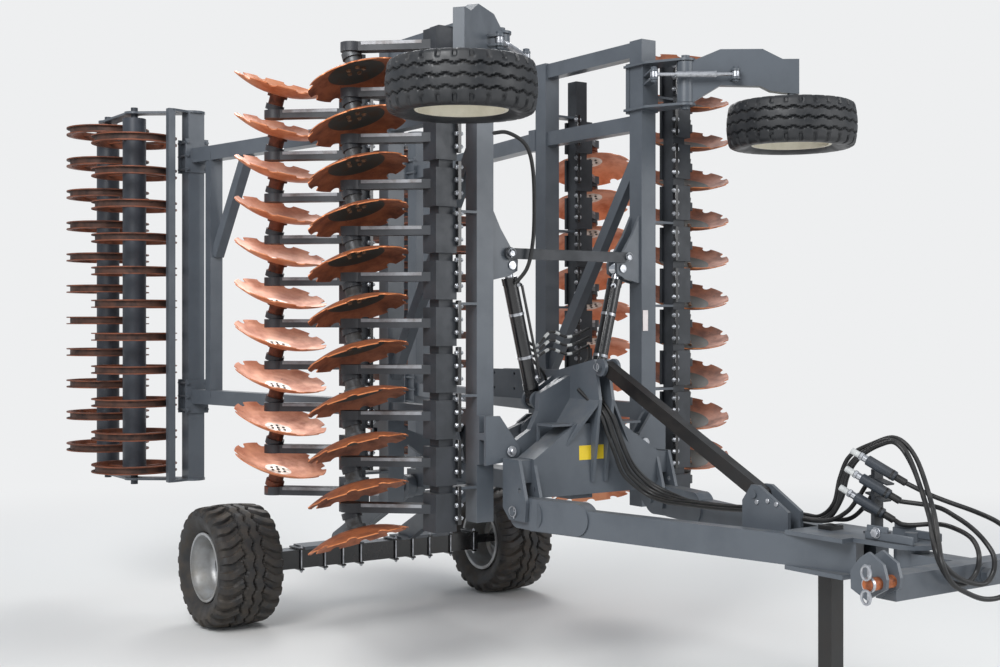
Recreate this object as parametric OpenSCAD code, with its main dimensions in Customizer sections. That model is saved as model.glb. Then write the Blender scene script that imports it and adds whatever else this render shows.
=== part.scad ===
// Trailed compact disc harrow, folded for transport. Millimetres, +X forward, +Y left, +Z up.
// The origin lies on the ground, below the middle of the machine's box.
// A wing is drawn in its working position: X forward, Y outboard and Z up from its fold hinge.

/* [Wings] */
// Height of the fold hinge above the ground
hinge_z = 1290; // [1250:5:1330]
// Distance of the fold hinge from the centre plane
hinge_y = 480; // [470:5:495]
// Distance of the rear tube behind the front tube
row_gap = 950; // [900:10:1000]
// Length of a main tube
tube_len = 2780; // [2700:10:2900]
// How far a main tube reaches inboard of the fold hinge
tube_in = 390; // [370:5:400]
// Width of a main tube
tube_w = 110; // [100:5:115]
// Drop of a main tube below the fold hinge, in working position
tube_drop = 110; // [105:5:120]
// Drop of a disc beam below the fold hinge, in working position
beam_drop = 360; // [345:5:380]
// Width of a disc beam
beam_w = 90; // [80:5:95]

/* [Discs] */
// Diameter of a disc
disc_d = 560; // [520:10:580]
// Spacing of the discs along a beam
disc_pitch = 250; // [240:5:260]
// Discs in a front row
front_count = 11; // [9:1:11]
// Discs in a rear row
rear_count = 10; // [8:1:10]
// Depth of a disc's dish
dish_depth = 64; // [55:1:70]
// Thickness of a disc
disc_t = 6; // [5:1:8]
// Angle of a disc to the line of travel
cut_angle = 17; // [14:1:20]
// Lean of a disc
lean_angle = 7; // [4:1:9]
// Distance of a disc behind its beam
disc_back = 285; // [270:5:300]
// Drop of a disc's centre below its beam
disc_drop = 350; // [340:5:370]
// Distance of a disc's rim plane beside its arm
disc_side = 185; // [180:1:190]
// Notches round a disc's rim
notch_count = 10; // [8:1:12]
// Radius of a notch
notch_r = 30; // [26:1:33]

/* [Rollers] */
// Diameter of a roller ring
ring_d = 600; // [560:10:620]
// Spacing of the rings
ring_pitch = 235; // [230:5:240]
// Rings on a roller
ring_count = 11; // [9:1:11]
// Distance of the first roller behind the front tube
roller_back = 3400; // [3370:10:3430]
// Spacing of the two rollers of a pair
roller_gap = 550; // [540:5:580]
// Drop of the rollers below the fold hinge, in working position
roller_drop = 810; // [790:5:830]
// Diameter of a roller tube
roller_tube_d = 165; // [150:5:170]
// Width of a ring
ring_w = 56; // [50:1:60]

/* [Wheels] */
// Diameter of a transport tyre
tyre_d = 800; // [780:10:810]
// Width of a transport tyre
tyre_w = 440; // [420:10:445]
// Diameter of a transport rim
rim_d = 430; // [410:10:450]
// Distance of a transport wheel from the centre plane
track_half = 1085; // [1075:5:1100]
// Distance of the transport axle behind the front tube
axle_back = 2200; // [2180:10:2220]
// Diameter of a gauge tyre
gauge_d = 750; // [730:10:770]
// Width of a gauge tyre
gauge_w = 264; // [250:2:270]
// Diameter of a gauge rim
gauge_rim_d = 440; // [420:10:460]

/* [Drawbar] */
// Height of the drawbar's centre line
bar_z = 955; // [945:5:965]
// Height of a drawbar beam
bar_h = 140; // [130:5:145]
// Distance of the hitch beam ahead of the front tube
cross_x = 2760; // [2750:10:2800]
// Spacing of the lower link pins
link_span = 1165; // [1160:5:1210]
// Width of the hitch beam
cross_w = 100; // [90:5:105]

/* [Fits] */
// Radial clearance of a pin or shaft in its bore
run_gap = 0.3; // [0.2:0.1:0.5]
// Clearance beside a piece that turns between plates
side_gap = 3; // [2:0.5:4]
// Clearance of a rod in its sleeve
slide_gap = 0.3; // [0.2:0.1:0.5]
// Gap between a roller's tube and the rings on it
seat_gap = 0.3; // [0.2:0.1:0.5]

/* [Hidden] */
$fn = 48;
eps = 0.01;
round_over = 1;
paint = "#59626c";
dark = "#24272b";
rust = "#8a4a2c";
zinc = "#b9bec2";
silver = "#9a9fa3";
cream = "#d8d2b8";
rubber = "#1c1c1d";

// The nut of the hitch beam's pivot stands this far out of its front face
pivot_nut = 40;
front_x = cross_x + cross_w / 2 + pivot_nut;
rear_x = -(roller_back + roller_gap + ring_d / 2);
mid_x = (front_x + rear_x) / 2;

tube_top = tube_len - tube_in;
module_v0 = -300;
// A disc beam reaches this far past its first and last module
beam_over = [110, 100];
beam_len = beam_over[0] + (max(front_count, rear_count) - 1) * disc_pitch + beam_over[1];
gusset_at = [0, 2, 4, 6, 9];
hub_r = 55;
disc_flat_r = 62;
// A notch's centre lies this far outside the rim
notch_out = 3;
notch_deep = 40;
hub_len = 95;
arm_t = 50;
arm_w = 84;
arm_boss_r = 62;
clamp_wall = 20;
clamp_x = beam_w / 2 + clamp_wall;
clamp_top = beam_w / 2 + 12;
clamp_low = beam_w / 2 + 30;
half_short = 60;
half_tall = 98;
row_x = [0, -row_gap];
// Middle of the space between two clamp modules, from the lower one
module_gap = arm_t / 2 + half_short + (disc_pitch - arm_t - half_short - half_tall) / 2;

// Fold cylinder: base pin on the frame and rod pin on the wing, as [distance from centre, height]
fold_base = [215, 1556];
fold_eye = [400, 2312];
fold_x = -10;
fold_pin_r = 20;
fold_lug_x = 40;
// Transport lock pin in a wing's plane, and its radius
lock_at = [1087, 57];
lock_pin_r = 15;
lock_x = fold_x + fold_lug_x + 25;

// Transport carriage pivot and axle
pivot_x = -1300;
pivot_z = 950;
pivot_r = 30;
arm_y = 270;
axle_x = -axle_back;
axle_z = tyre_d / 2;
axle_w = 125;
stub_r = 32;

// Lift cylinder: base pin on the frame and rod pin on the carriage
lift_base = [-1120, 1330];
lift_eye = [-1790, 900];
lift_pin_r = 18;

// Roller frame
roller_frame_x = -(roller_back - 260);
roller_frame_w = -470;
roller_frame_size = 120;
scraper = [325, 145];
roller_arms = [180, 1900];
roller_arm_h = 100;
roller_span = ring_pitch * (ring_count - 1);
roller_mid = roller_span / 2 - 275;
tube_over = 60;
bearing_out = 80;
shaft_r = 25;

// Gauge wheel
gauge_x = 670;
gauge_in = 540;
gauge_v = tube_top - gauge_in;
gauge_drop = 672;
gauge_plate_gap = 260;
gauge_arm_t = 60;
// Gap between the tyre and its arm, and from the arm's end up to the middle of its hinge
gauge_arm_gap = 50;
gauge_arm_rise = 75;
gauge_arm_v = gauge_v + gauge_w / 2 + gauge_arm_gap + gauge_arm_rise;
gauge_hinge = [300, -180];
gauge_end = [gauge_x, -gauge_drop];

// Drawbar: beams from the headstock's lugs to the nose, as [along the machine, from the centre]
bar_t = 70;
bar_rear = [385, 485];
bar_pin = [265, 972];
bar_pin_r = 18;
bar_eye_h = 168;
fish_len = 300;
fish_t = 10;
bar_front = [2230, 75];
nose_pin_x = 2450;
nose_pin_r = 28;
apex = [390, 1745];
apex_pin_r = 18;
link_foot = [1560, 1165];
leg_x = 1995;
leg_w = 80;
leg_clear = run_gap;
leg_top = 1065;
// Lower link pin from the hitch beam's axis, and the plates that hold it
link_pin = [35, 29];
link_pin_r = 25.4;
lug_gap = 64;
lug_t = 16;

module folded(side) {
    mirror([0, side < 0 ? 1 : 0, 0])
        translate([0, hinge_y, hinge_z])
            rotate([90, 0, 0])
                children();
}

module both() {
    children();
    mirror([0, 1, 0]) children();
}

module along_y(r, len) {
    rotate([90, 0, 0]) cylinder(r = r, h = len, center = true);
}

module along_x(r, len) {
    rotate([0, 90, 0]) cylinder(r = r, h = len, center = true);
}

// A plate drawn in the XZ plane, centred on its thickness
module plate_xz(t) {
    rotate([90, 0, 0]) linear_extrude(t, center = true) children();
}

// A plate drawn as [distance from the centre, height], lying across the machine
module plate_yz(t) {
    rotate([90, 0, 90]) linear_extrude(t, center = true) children();
}

// A straight bar with a slightly wider round at each end, between two points of a drawing plane
module strap(a, b, w) {
    d = b - a;
    len = norm(d);
    translate(a) rotate(atan2(d[1], d[0])) translate([0, -w / 2]) square([len, w]);
    translate(a) circle(d = w + 2 * round_over);
    translate(b) circle(d = w + 2 * round_over);
}

// A square-ended bar between two points of a drawing plane
module bar2d(a, b, w) {
    d = b - a;
    translate(a) rotate(atan2(d[1], d[0])) translate([0, -w / 2]) square([norm(d), w]);
}

module rounded_tyre(r_out, r_in, w, corner) {
    bead = w * 0.36;
    difference() {
        union() {
            translate([r_in, -w / 2 + corner]) square([r_out - r_in, w - 2 * corner]);
            translate([r_in, -w / 2]) square([r_out - r_in - corner, w]);
            for (s = [-1, 1]) translate([r_out - corner, s * (w / 2 - corner)]) circle(corner);
        }
        for (s = [-1, 1])
            translate([r_in - eps, s > 0 ? bead : -w / 2 - eps])
                square([corner * 0.5, w / 2 - bead + eps]);
    }
}

// Disc rows

module dish_profile() {
    // Columns: radius, depth of the hollow face below the rim plane
    steps = 6;
    r = disc_d / 2;
    rows = concat(
        [[0, dish_depth]],
        [for (i = [0 : steps]) [disc_flat_r + (r - disc_flat_r) * i / steps, dish_depth * (1 - pow(i / steps, 1.7))]]
    );
    hollow = [for (p = rows) [p[0], -p[1]]];
    back = [for (i = [len(rows) - 1 : -1 : 0]) [rows[i][0], -rows[i][1] - disc_t]];
    polygon(concat(hollow, back));
}

module disc() {
    difference() {
        rotate_extrude($fn = 72) dish_profile();
        for (i = [0 : notch_count - 1])
            rotate(i * 360 / notch_count)
                translate([disc_d / 2 + notch_out, 0, -notch_deep]) cylinder(r = notch_r, h = 2 * notch_deep);
    }
}

// Puts its children on a disc's axis, Z along it out of the hollow face
module at_disc(dir) {
    mirror([0, dir < 0 ? 1 : 0, 0])
        translate([-disc_back, disc_side, -beam_drop - disc_drop])
            rotate([lean_angle - 90, 0, -cut_angle])
                children();
}

module gang_module(dir) {
    hub_end = -(dish_depth + disc_t);
    boss_x = -disc_back - 40;
    boss_w = -disc_drop - 20;
    // Clamp halves round the beam
    for (half = [[arm_t / 2, half_short], [-arm_t / 2 - half_tall, half_tall]])
        translate([0, half[0], -beam_drop])
            difference() {
                translate([-clamp_x, 0, -clamp_low]) cube([2 * clamp_x, half[1], clamp_low + clamp_top]);
                translate([-beam_w / 2, -1, -beam_w / 2])
                    cube([beam_w, half[1] + 2, beam_w + clamp_top]);
            }
    // Arm from the clamp to the hub
    translate([0, 0, -beam_drop])
        rotate([90, 0, 0])
            linear_extrude(arm_t, center = true)
                difference() {
                    union() {
                        bar2d([-20, -clamp_low + 30], [boss_x, boss_w], arm_w);
                        translate([-clamp_x, -clamp_low]) square([2 * clamp_x, clamp_low + clamp_top]);
                        translate([boss_x, boss_w]) circle(arm_boss_r);
                    }
                    translate([-beam_w / 2, -beam_w / 2]) square([beam_w, beam_w + clamp_top]);
                }
    // Hub between the arm's boss and the disc: step's start, length, radius
    for (step = [[0, hub_len, hub_r - 10], [0, 34, hub_r], [hub_len - 16, 16, hub_r + 5]])
        at_disc(dir) translate([0, 0, hub_end - hub_len + step[0]]) cylinder(r = step[2], h = step[1]);
}

module gang(count, dir, x0) {
    translate([x0, 0, 0]) {
        translate([-beam_w / 2, module_v0 - beam_over[0], -beam_drop - beam_w / 2])
            cube([beam_w, beam_len, beam_w]);
        for (i = [0 : count - 1]) translate([0, module_v0 + i * disc_pitch, 0]) gang_module(dir);
    }
}

module disc_row(count, dir, x0) {
    for (i = [0 : count - 1])
        translate([x0, module_v0 + i * disc_pitch, 0]) at_disc(dir) disc();
}

module front_gang(side) color(paint) folded(side) gang(front_count, side, row_x[0]);
module rear_gang(side) color(paint) folded(side) gang(rear_count, -side, row_x[1]);
module front_discs(side) color(rust) folded(side) disc_row(front_count, side, row_x[0]);
module rear_discs(side) color(rust) folded(side) disc_row(rear_count, -side, row_x[1]);

// Wing frame

hinge_r = 25;
hinge_boss_r = 60;
// The frame's hinge plate, and the two plates of the wing beside it
hinge_out = 100;
hinge_t = 40;
hinge_x = [hinge_out, -row_gap - hinge_out];
// Columns: distance from the main tube's middle to the near face and to the far face
hinge_plates = [[tube_w / 2, hinge_out - hinge_t / 2 - side_gap], [hinge_out + hinge_t / 2 + side_gap, 143]];
hinge_pin_len = 104;
// Reach of the wing's hinge plates along the front and the rear main tube
hinge_reach = [195, 105];
hinge_web = [65, 103];

module hinge_outline(reach) {
    low = -tube_drop - tube_w / 2;
    circle(hinge_boss_r);
    polygon([[reach, low], [reach, low + (reach > 150 ? 92 : 120)], [55, 35], [-52, 20], [-71, low]]);
}

// A wing's two hinge plates beside a main tube, and the web between them
module hinge_lugs(reach) {
    difference() {
        union() {
            for (row = hinge_plates)
                translate([(row[0] + row[1]) / 2, 0, 0]) plate_yz(row[1] - row[0]) hinge_outline(reach);
            translate([hinge_plates[0][1], hinge_web[0], -tube_drop - tube_w / 2])
                cube([hinge_plates[1][0] - hinge_plates[0][1], hinge_web[1] - hinge_web[0], 90]);
        }
        translate([hinge_out, 0, 0]) along_x(hinge_r + run_gap, 4 * hinge_t);
    }
}

module wing_shape() {
    drop = tube_drop;
    // Main tubes
    for (x = row_x)
        translate([x - tube_w / 2, -tube_in, -drop - tube_w / 2]) cube([tube_w, tube_len, tube_w]);
    // Tubes between the two main tubes: distance outboard, width
    for (row = [[tube_top - 50, 90], [roller_arms[1], 90], [roller_arms[0], 90]])
        translate([-row_gap + tube_w / 2, row[0] - row[1] / 2, -drop - 40])
            cube([row_gap - tube_w, row[1], 80]);
    // Diagonal brace
    translate([0, 0, -drop])
        linear_extrude(60, center = true)
            intersection() {
                bar2d([0, roller_arms[1] - 150], [-row_gap, roller_arms[0] + 160], 70);
                translate([-row_gap + tube_w / 2, -tube_in]) square([row_gap - tube_w, tube_len]);
            }
    // Gussets between the main tubes and the disc beams
    for (x = row_x, k = gusset_at)
        translate([x, module_v0 + module_gap + k * disc_pitch, 0])
            plate_xz(14)
                polygon([
                    [-tube_w / 2, -drop - tube_w / 2],
                    [tube_w / 2, -drop - tube_w / 2],
                    [beam_w / 2, -beam_drop + beam_w / 2],
                    [-beam_w / 2, -beam_drop + beam_w / 2],
                ]);
    // Hinge lugs ahead of the front tube and behind the rear tube
    hinge_lugs(hinge_reach[0]);
    translate([-row_gap, 0, 0]) mirror([1, 0, 0]) hinge_lugs(hinge_reach[1]);
    // Lug plates of the fold cylinder on the front tube, and its pin's ends
    ev = fold_eye[1] - hinge_z;
    ew = hinge_y - fold_eye[0];
    foot = -drop + tube_w / 2 - 1;
    for (s = [-1, 1])
        translate([fold_x + s * fold_lug_x, 0, 0]) {
            difference() {
                plate_yz(20)
                    polygon([
                        [ev - 85, foot], [ev - 60, ew - 20], [ev - 30, ew + 38], [ev + 30, ew + 42],
                        [ev + 90, ew], [ev + 200, ew - 75], [ev + 320, foot],
                    ]);
                if (s > 0)
                    translate([0, lock_at[0], lock_at[1]]) along_x(lock_pin_r + run_gap, 30);
            }
            translate([s * 2, ev, ew]) along_x(fold_pin_r, 24);
        }
    // Pin of the transport lock, from the front lug plate's rear face
    translate([(fold_x + fold_lug_x - 10 + lock_x + 22) / 2, lock_at[0], lock_at[1]])
        along_x(lock_pin_r, lock_x + 22 - fold_x - fold_lug_x + 10);
}

module wing_frame(side) color(paint) folded(side) wing_shape();

// Rollers

module ring_profile() {
    // A channel open outward
    r = ring_d / 2;
    lip = 26;
    wall = 8;
    difference() {
        translate([r - lip - wall, -ring_w / 2]) square([lip + wall, ring_w]);
        translate([r - lip, -ring_w / 2 + wall]) square([lip + 1, ring_w - 2 * wall]);
    }
}

module roller(shift) {
    tube_half = roller_span / 2 + tube_over + bearing_out / 2;
    rotate([90, 0, 0]) {
        cylinder(d = roller_tube_d, h = 2 * tube_half, center = true);
        cylinder(r = shaft_r, h = 2 * tube_half + 2 * bearing_out, center = true);
    }
    for (i = [0 : ring_count - 1])
        translate([0, -roller_span / 2 + i * ring_pitch + shift, 0])
            rotate([90, 0, 0]) {
                rotate_extrude($fn = 72) ring_profile();
                for (a = [0 : 90 : 270])
                    rotate(a + 20)
                        translate([roller_tube_d / 2 + seat_gap, -15, -4])
                            cube([ring_d / 2 - 30 - roller_tube_d / 2, 30, 8]);
            }
}

module roller_frame_shape() {
    half = roller_span / 2 + tube_over + bearing_out;
    v0 = roller_mid - half;
    v1 = roller_mid + half;
    size = roller_frame_size;
    bar = [-roller_back + scraper[0], -roller_drop + scraper[1]];
    arm_rear = [-row_gap - tube_w / 2 - 40, -tube_drop];
    arm_front = [roller_frame_x + size / 2, roller_frame_w + 10];
    // The brace meets the outer arm this far along it, and the tube at this height
    brace_at = [1420, 1180];
    // Cross tube over the rollers
    translate([roller_frame_x - size / 2, v0 - 8, roller_frame_w - size / 2]) cube([size, 2 * half + 16, size]);
    // Scraper bar
    translate([bar[0] - 25, v0 - 8, bar[1] - 25]) cube([50, 2 * half + 16, 50]);
    // End plates with the bearings
    for (end = [v0, v1])
        translate([0, end, 0])
            difference() {
                plate_xz(16)
                    union() {
                        bar2d([roller_frame_x, roller_frame_w], [-roller_back, -roller_drop], 110);
                        bar2d([-roller_back, -roller_drop], [-roller_back - roller_gap, -roller_drop], 110);
                        for (x = [0, roller_gap]) translate([-roller_back - x, -roller_drop]) circle(70);
                        translate([roller_frame_x, roller_frame_w]) circle(84);
                        bar2d([roller_frame_x, roller_frame_w], bar, 60);
                    }
                for (x = [0, roller_gap])
                    translate([-roller_back - x, 0, -roller_drop]) along_y(shaft_r + run_gap, 40);
            }
    // Arms to the rear main tube, with their clamp blocks
    for (v = roller_arms)
        translate([0, v, 0]) {
            plate_xz(roller_arm_h)
                difference() {
                    bar2d(arm_rear, arm_front, 100);
                    translate([roller_frame_x - size / 2, roller_frame_w - size / 2]) square(size);
                }
            translate([-row_gap - tube_w / 2 - 70, -70, -tube_drop - 60]) cube([70, 140, 120]);
            roller_clamp();
        }
    // Tube between the arms, and the brace from it to the outer arm
    translate([roller_frame_x + 220, roller_arms[0], roller_frame_w])
        cube([90, roller_arms[1] - roller_arms[0], 90]);
    translate([arm_rear[0], 0, arm_rear[1]])
        rotate([0, -atan2(arm_rear[1] - arm_front[1], arm_rear[0] - arm_front[0]), 0])
            linear_extrude(70, center = true)
                bar2d([-brace_at[0], roller_arms[1]], [roller_frame_x + 265 - arm_rear[0] + 15, brace_at[1]], 66);
}

// Clamp of an arm on the cross tube: a plate on each side and bolts past the tube's two faces
module roller_clamp() {
    half = roller_frame_size / 2;
    for (x = [-half - 10, half])
        translate([roller_frame_x + x, -120, roller_frame_w - half - 26]) cube([10, 240, 2 * half + 52]);
    for (v = [-95, 0, 95], s = [-1, 1])
        translate([roller_frame_x, v, roller_frame_w + s * (half + 13)])
            rotate([0, 90, 0]) {
                translate([0, 0, -half - 18]) cylinder(r = 8, h = 2 * half + 46);
                translate([0, 0, -half - 18]) cylinder(r = 14, h = 8.02, $fn = 6);
                translate([0, 0, half + 9.98]) cylinder(r = 14, h = 12, $fn = 6);
            }
}

module roller_frame(side) color(paint) folded(side) roller_frame_shape();

module roller_front(side)
    color(rust) folded(side) translate([-roller_back, roller_mid, -roller_drop]) roller(-ring_pitch / 4);

module roller_rear(side)
    color(rust) folded(side)
        translate([-roller_back - roller_gap, roller_mid, -roller_drop]) roller(ring_pitch / 4);

// Gauge wheels

gauge_stub_r = 24;
gauge_pin_r = 25;
gauge_dir = (gauge_end - gauge_hinge) / norm(gauge_end - gauge_hinge);
gauge_side = [-gauge_dir[1], gauge_dir[0]];
gauge_len = norm(gauge_end - gauge_hinge);
// Turnbuckle pins: distance along the arm from its hinge, and beside it
turn_side = 85;
turn_along = [-190, 281];
turn_a = gauge_hinge + turn_side * gauge_side + turn_along[0] * gauge_dir;
turn_b = gauge_hinge + turn_side * gauge_side + turn_along[1] * gauge_dir;
turn_r = 10;
turn_up = 33;
turn_v = gauge_arm_v + turn_up;
ear_t = 12;
ear_at = 24;
tube_front = tube_w / 2;

// Puts its children in an arm's own frame: X along it, Y along the wing, Z beside it
module on_gauge_arm() {
    translate([gauge_hinge[0], gauge_arm_v, gauge_hinge[1]])
        rotate([0, -atan2(gauge_dir[1], gauge_dir[0]), 0]) children();
}

module gauge_arm_shape() {
    // Two cheek plates round the front main tube, a plate on each side of the tube and its bolts
    for (s = [-1, 1])
        translate([0, gauge_arm_v + s * gauge_plate_gap / 2, 0])
            plate_xz(14)
                difference() {
                    union() {
                        polygon([
                            [-tube_front - 30, -tube_drop - 78], [-tube_front - 30, -tube_drop + 78],
                            [tube_front + 60, -tube_drop + 84], [gauge_hinge[0] + 20, gauge_hinge[1] + 54],
                            [gauge_hinge[0] - 12, gauge_hinge[1] - 56], [tube_front + 70, -tube_drop - 100],
                        ]);
                        translate(gauge_hinge) circle(58);
                    }
                    translate([-tube_front, -tube_drop - tube_w / 2]) square(tube_w);
                }
    for (x = [-tube_front - 30, tube_front])
        translate([x, gauge_arm_v - gauge_plate_gap / 2 - 20, -tube_drop - 60])
            cube([x > 0 ? 16 : 30, gauge_plate_gap + 40, 120]);
    translate([gauge_hinge[0], gauge_arm_v, gauge_hinge[1]]) along_y(gauge_pin_r, gauge_plate_gap + 54);
    // Ears for the turnbuckle on the tube's plate, and its bolt
    for (s = [-1, 1])
        translate([0, turn_v + s * ear_at, 0])
            plate_xz(ear_t)
                difference() {
                    strap([tube_front + 20, -tube_drop + 30], turn_a, 44);
                    translate([-tube_front, -tube_drop - tube_w / 2]) square(tube_w);
                }
    translate([turn_a[0], turn_v, turn_a[1]]) turn_bolt();
    // Arm to the wheel, cranked over the tyre: distance along it, height above the hinge's middle
    on_gauge_arm() {
        linear_extrude(gauge_arm_t, center = true)
            polygon([
                [-44, -120], [-44, 118], [30, 118], [200, 188], [444, 188], [560, 129], [gauge_len + 40, 129],
                [gauge_len + 40, -gauge_arm_rise], [560, -67], [490, -57], [433, -28], [200, -22], [37, -120],
            ]);
        along_y(50, 238);
        translate([turn_along[1], 0, turn_side / 2])
            for (s = [-1, 1])
                translate([0, turn_up + s * ear_at, 0])
                    plate_xz(ear_t)
                        union() {
                            translate([-26, -turn_side / 2]) square([52, turn_side]);
                            translate([0, turn_side / 2]) circle(26 + round_over);
                        }
    }
    translate([turn_b[0], turn_v, turn_b[1]]) turn_bolt();
    // Stub axle
    stub_top = gauge_v + gauge_w / 2 + gauge_arm_gap + 40;
    stub_low = gauge_v - 30;
    translate([gauge_end[0], (stub_top + stub_low) / 2, gauge_end[1]]) along_y(gauge_stub_r, stub_top - stub_low);
}

// Bolt of a turnbuckle's eye, with its head and nut
module turn_bolt() {
    along_y(turn_r, 2 * ear_at + 44);
    for (s = [-1, 1])
        translate([0, s * (ear_at + ear_t / 2 + 7), 0])
            rotate([90, 0, 0]) cylinder(r = 18, h = 14.02, center = true, $fn = 6);
}

module gauge_arm(side) color(paint) folded(side) gauge_arm_shape();

module turnbuckle(side)
    color(zinc) folded(side)
        translate([0, turn_v, 0])
            difference() {
                union() {
                    for (p = [turn_a, turn_b]) translate([p[0], 0, p[1]]) along_y(22, 30);
                    translate([turn_a[0], 0, turn_a[1]])
                        rotate([0, 90 - atan2(gauge_dir[1], gauge_dir[0]), 0]) {
                            cylinder(r = 11, h = norm(turn_b - turn_a));
                            translate([0, 0, 125]) cylinder(r = 18, h = norm(turn_b - turn_a) - 250);
                            translate([0, 0, norm(turn_b - turn_a) - 125]) cylinder(r = 20, h = 14, $fn = 6);
                        }
                }
                for (p = [turn_a, turn_b]) translate([p[0], 0, p[1]]) along_y(turn_r + run_gap, 60);
            }

module gauge_tyre(side)
    color(rubber) folded(side)
        translate([gauge_x, gauge_v, -gauge_drop])
            rotate([90, 0, 0])
                rotate_extrude($fn = 72)
                    rounded_tyre(gauge_d / 2, gauge_rim_d / 2, gauge_w, 50);

module gauge_rim(side)
    color(cream) folded(side)
        translate([gauge_x, gauge_v, -gauge_drop])
            rotate([90, 0, 0])
                difference() {
                    rotate_extrude($fn = 72) rim_profile(gauge_rim_d / 2, gauge_w * 0.84, 24, 62, -40);
                    cylinder(r = gauge_stub_r + run_gap, h = 400, center = true);
                }

// Wheel rim: barrel, flanges, dish and hub
module rim_profile(r, w, dish_t, hub, dish_at) {
    translate([r - 14, -w / 2]) square([14, w]);
    for (s = [-1, 1]) translate([r - 14, s * (w / 2 - 6) - 6]) square([26, 12]);
    translate([0, dish_at - dish_t / 2]) square([r - 10, dish_t]);
    translate([0, dish_at - 55]) square([hub, 110]);
}

module tyre(side)
    color(rubber)
        translate([axle_x, side * track_half, axle_z])
            rotate([90, 0, 0])
                rotate_extrude($fn = 96)
                    rounded_tyre(tyre_d / 2, rim_d / 2, tyre_w, 60);

module rim(side)
    color(silver)
        translate([axle_x, side * track_half, axle_z])
            rotate([side * 90, 0, 0])
                difference() {
                    rotate_extrude($fn = 96) rim_profile(rim_d / 2, tyre_w * 0.84, 14, 80, 20);
                    cylinder(r = stub_r + run_gap, h = 500, center = true);
                }

// Carriage and axle

module carriage() color(paint) {
    both()
        translate([0, arm_y, 0])
            difference() {
                plate_xz(60)
                    union() {
                        strap([pivot_x, pivot_z], [axle_x, axle_z + axle_w / 2 + 30], 120);
                        translate([pivot_x, pivot_z]) circle(75);
                    }
                translate([pivot_x, 0, pivot_z]) along_y(pivot_r + run_gap, 100);
                translate([axle_x, 0, axle_z]) cube([axle_w, 100, axle_w], center = true);
            }
    // Cross tube between the arms, with the lift cylinder's ears
    translate([lift_eye[0] + 10, 0, lift_eye[1] - 110]) cube([100, 2 * arm_y - 60, 100], center = true);
    for (s = [-1, 1])
        translate([0, s * 42, 0])
            difference() {
                plate_xz(16) strap(lift_eye, lift_eye + [10, -110], 80);
                translate([lift_eye[0], 0, lift_eye[1]]) along_y(lift_pin_r - 1, 10);
            }
    // Clamp plates over the axle
    both()
        translate([axle_x, 380, axle_z + axle_w / 2 + 10]) cube([170, 400, 20], center = true);
}

module axle() color(dark)
    difference() {
        union() {
            translate([axle_x, 0, axle_z]) cube([axle_w, 2 * (track_half - tyre_w / 2 - 20), axle_w], center = true);
            translate([axle_x, 0, axle_z]) along_y(stub_r, 2 * track_half + 60);
        }
    }

// Centre frame

rail_w = 160;
rail_z = 1055;
rail_h = 110;
rail_top = rail_z + rail_h / 2;
cross_box = 100;
pivot_plate_y = 200;
head_back = 155;
head_front = 310;

// A hinge plate of the frame with its pin, from the boss inward along the given outline
module frame_hinge(outline) {
    plate_yz(hinge_t)
        union() {
            translate([hinge_y, hinge_z]) circle(hinge_boss_r);
            polygon(outline);
        }
    translate([0, hinge_y, hinge_z]) along_x(hinge_r, hinge_pin_len);
}

module center_frame() color(paint) {
    rail_rear = pivot_x + 40;
    // Main rail, and the box across its rear end
    translate([rail_rear, -rail_w / 2, rail_z - rail_h / 2]) cube([head_back - rail_rear, rail_w, rail_h]);
    translate([rail_rear + cross_box / 2, 0, rail_z])
        cube([cross_box, 2 * pivot_plate_y + 60, rail_h], center = true);
    // Rear hinge plates: distance from the centre, height
    both()
        translate([hinge_x[1], 0, 0])
            frame_hinge([[440, 1338], [330, 1300], [rail_w / 2 - 1, 1190], [rail_w / 2 - 1, 1005], [425, 1243]]);
    // Carriage pivot bar and its plates
    translate([pivot_x, 0, pivot_z]) along_y(pivot_r, 2 * arm_y + 80);
    both()
        translate([0, pivot_plate_y, 0])
            plate_xz(60)
                union() {
                    translate([pivot_x, pivot_z]) circle(65);
                    translate([pivot_x - 65, pivot_z]) square([205, rail_z - pivot_z]);
                }
    // Mast of the lift cylinder
    for (s = [-1, 1])
        translate([0, s * 42, 0])
            plate_xz(20)
                polygon([
                    lift_base + [-45, 45], lift_base + [40, 45],
                    [lift_base[0] + 160, rail_z], [lift_base[0] - 100, rail_z],
                ]);
    translate([lift_base[0], 0, lift_base[1]]) along_y(lift_pin_r, 104);
}

// Headstock: hood over the rail, front box with the drawbar's lugs, front hinge plates

hood_in = 35;
hood_t = 20;
hood_rear = -660;
hood_bend = 1566;
flare_angle = 36;
// Drawbar lugs: plate thickness, and the gap for a beam's eye
lug_plate = 20;
eye_gap = bar_t + 2 * side_gap;
head_half = bar_rear[1] - eye_gap / 2;

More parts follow.
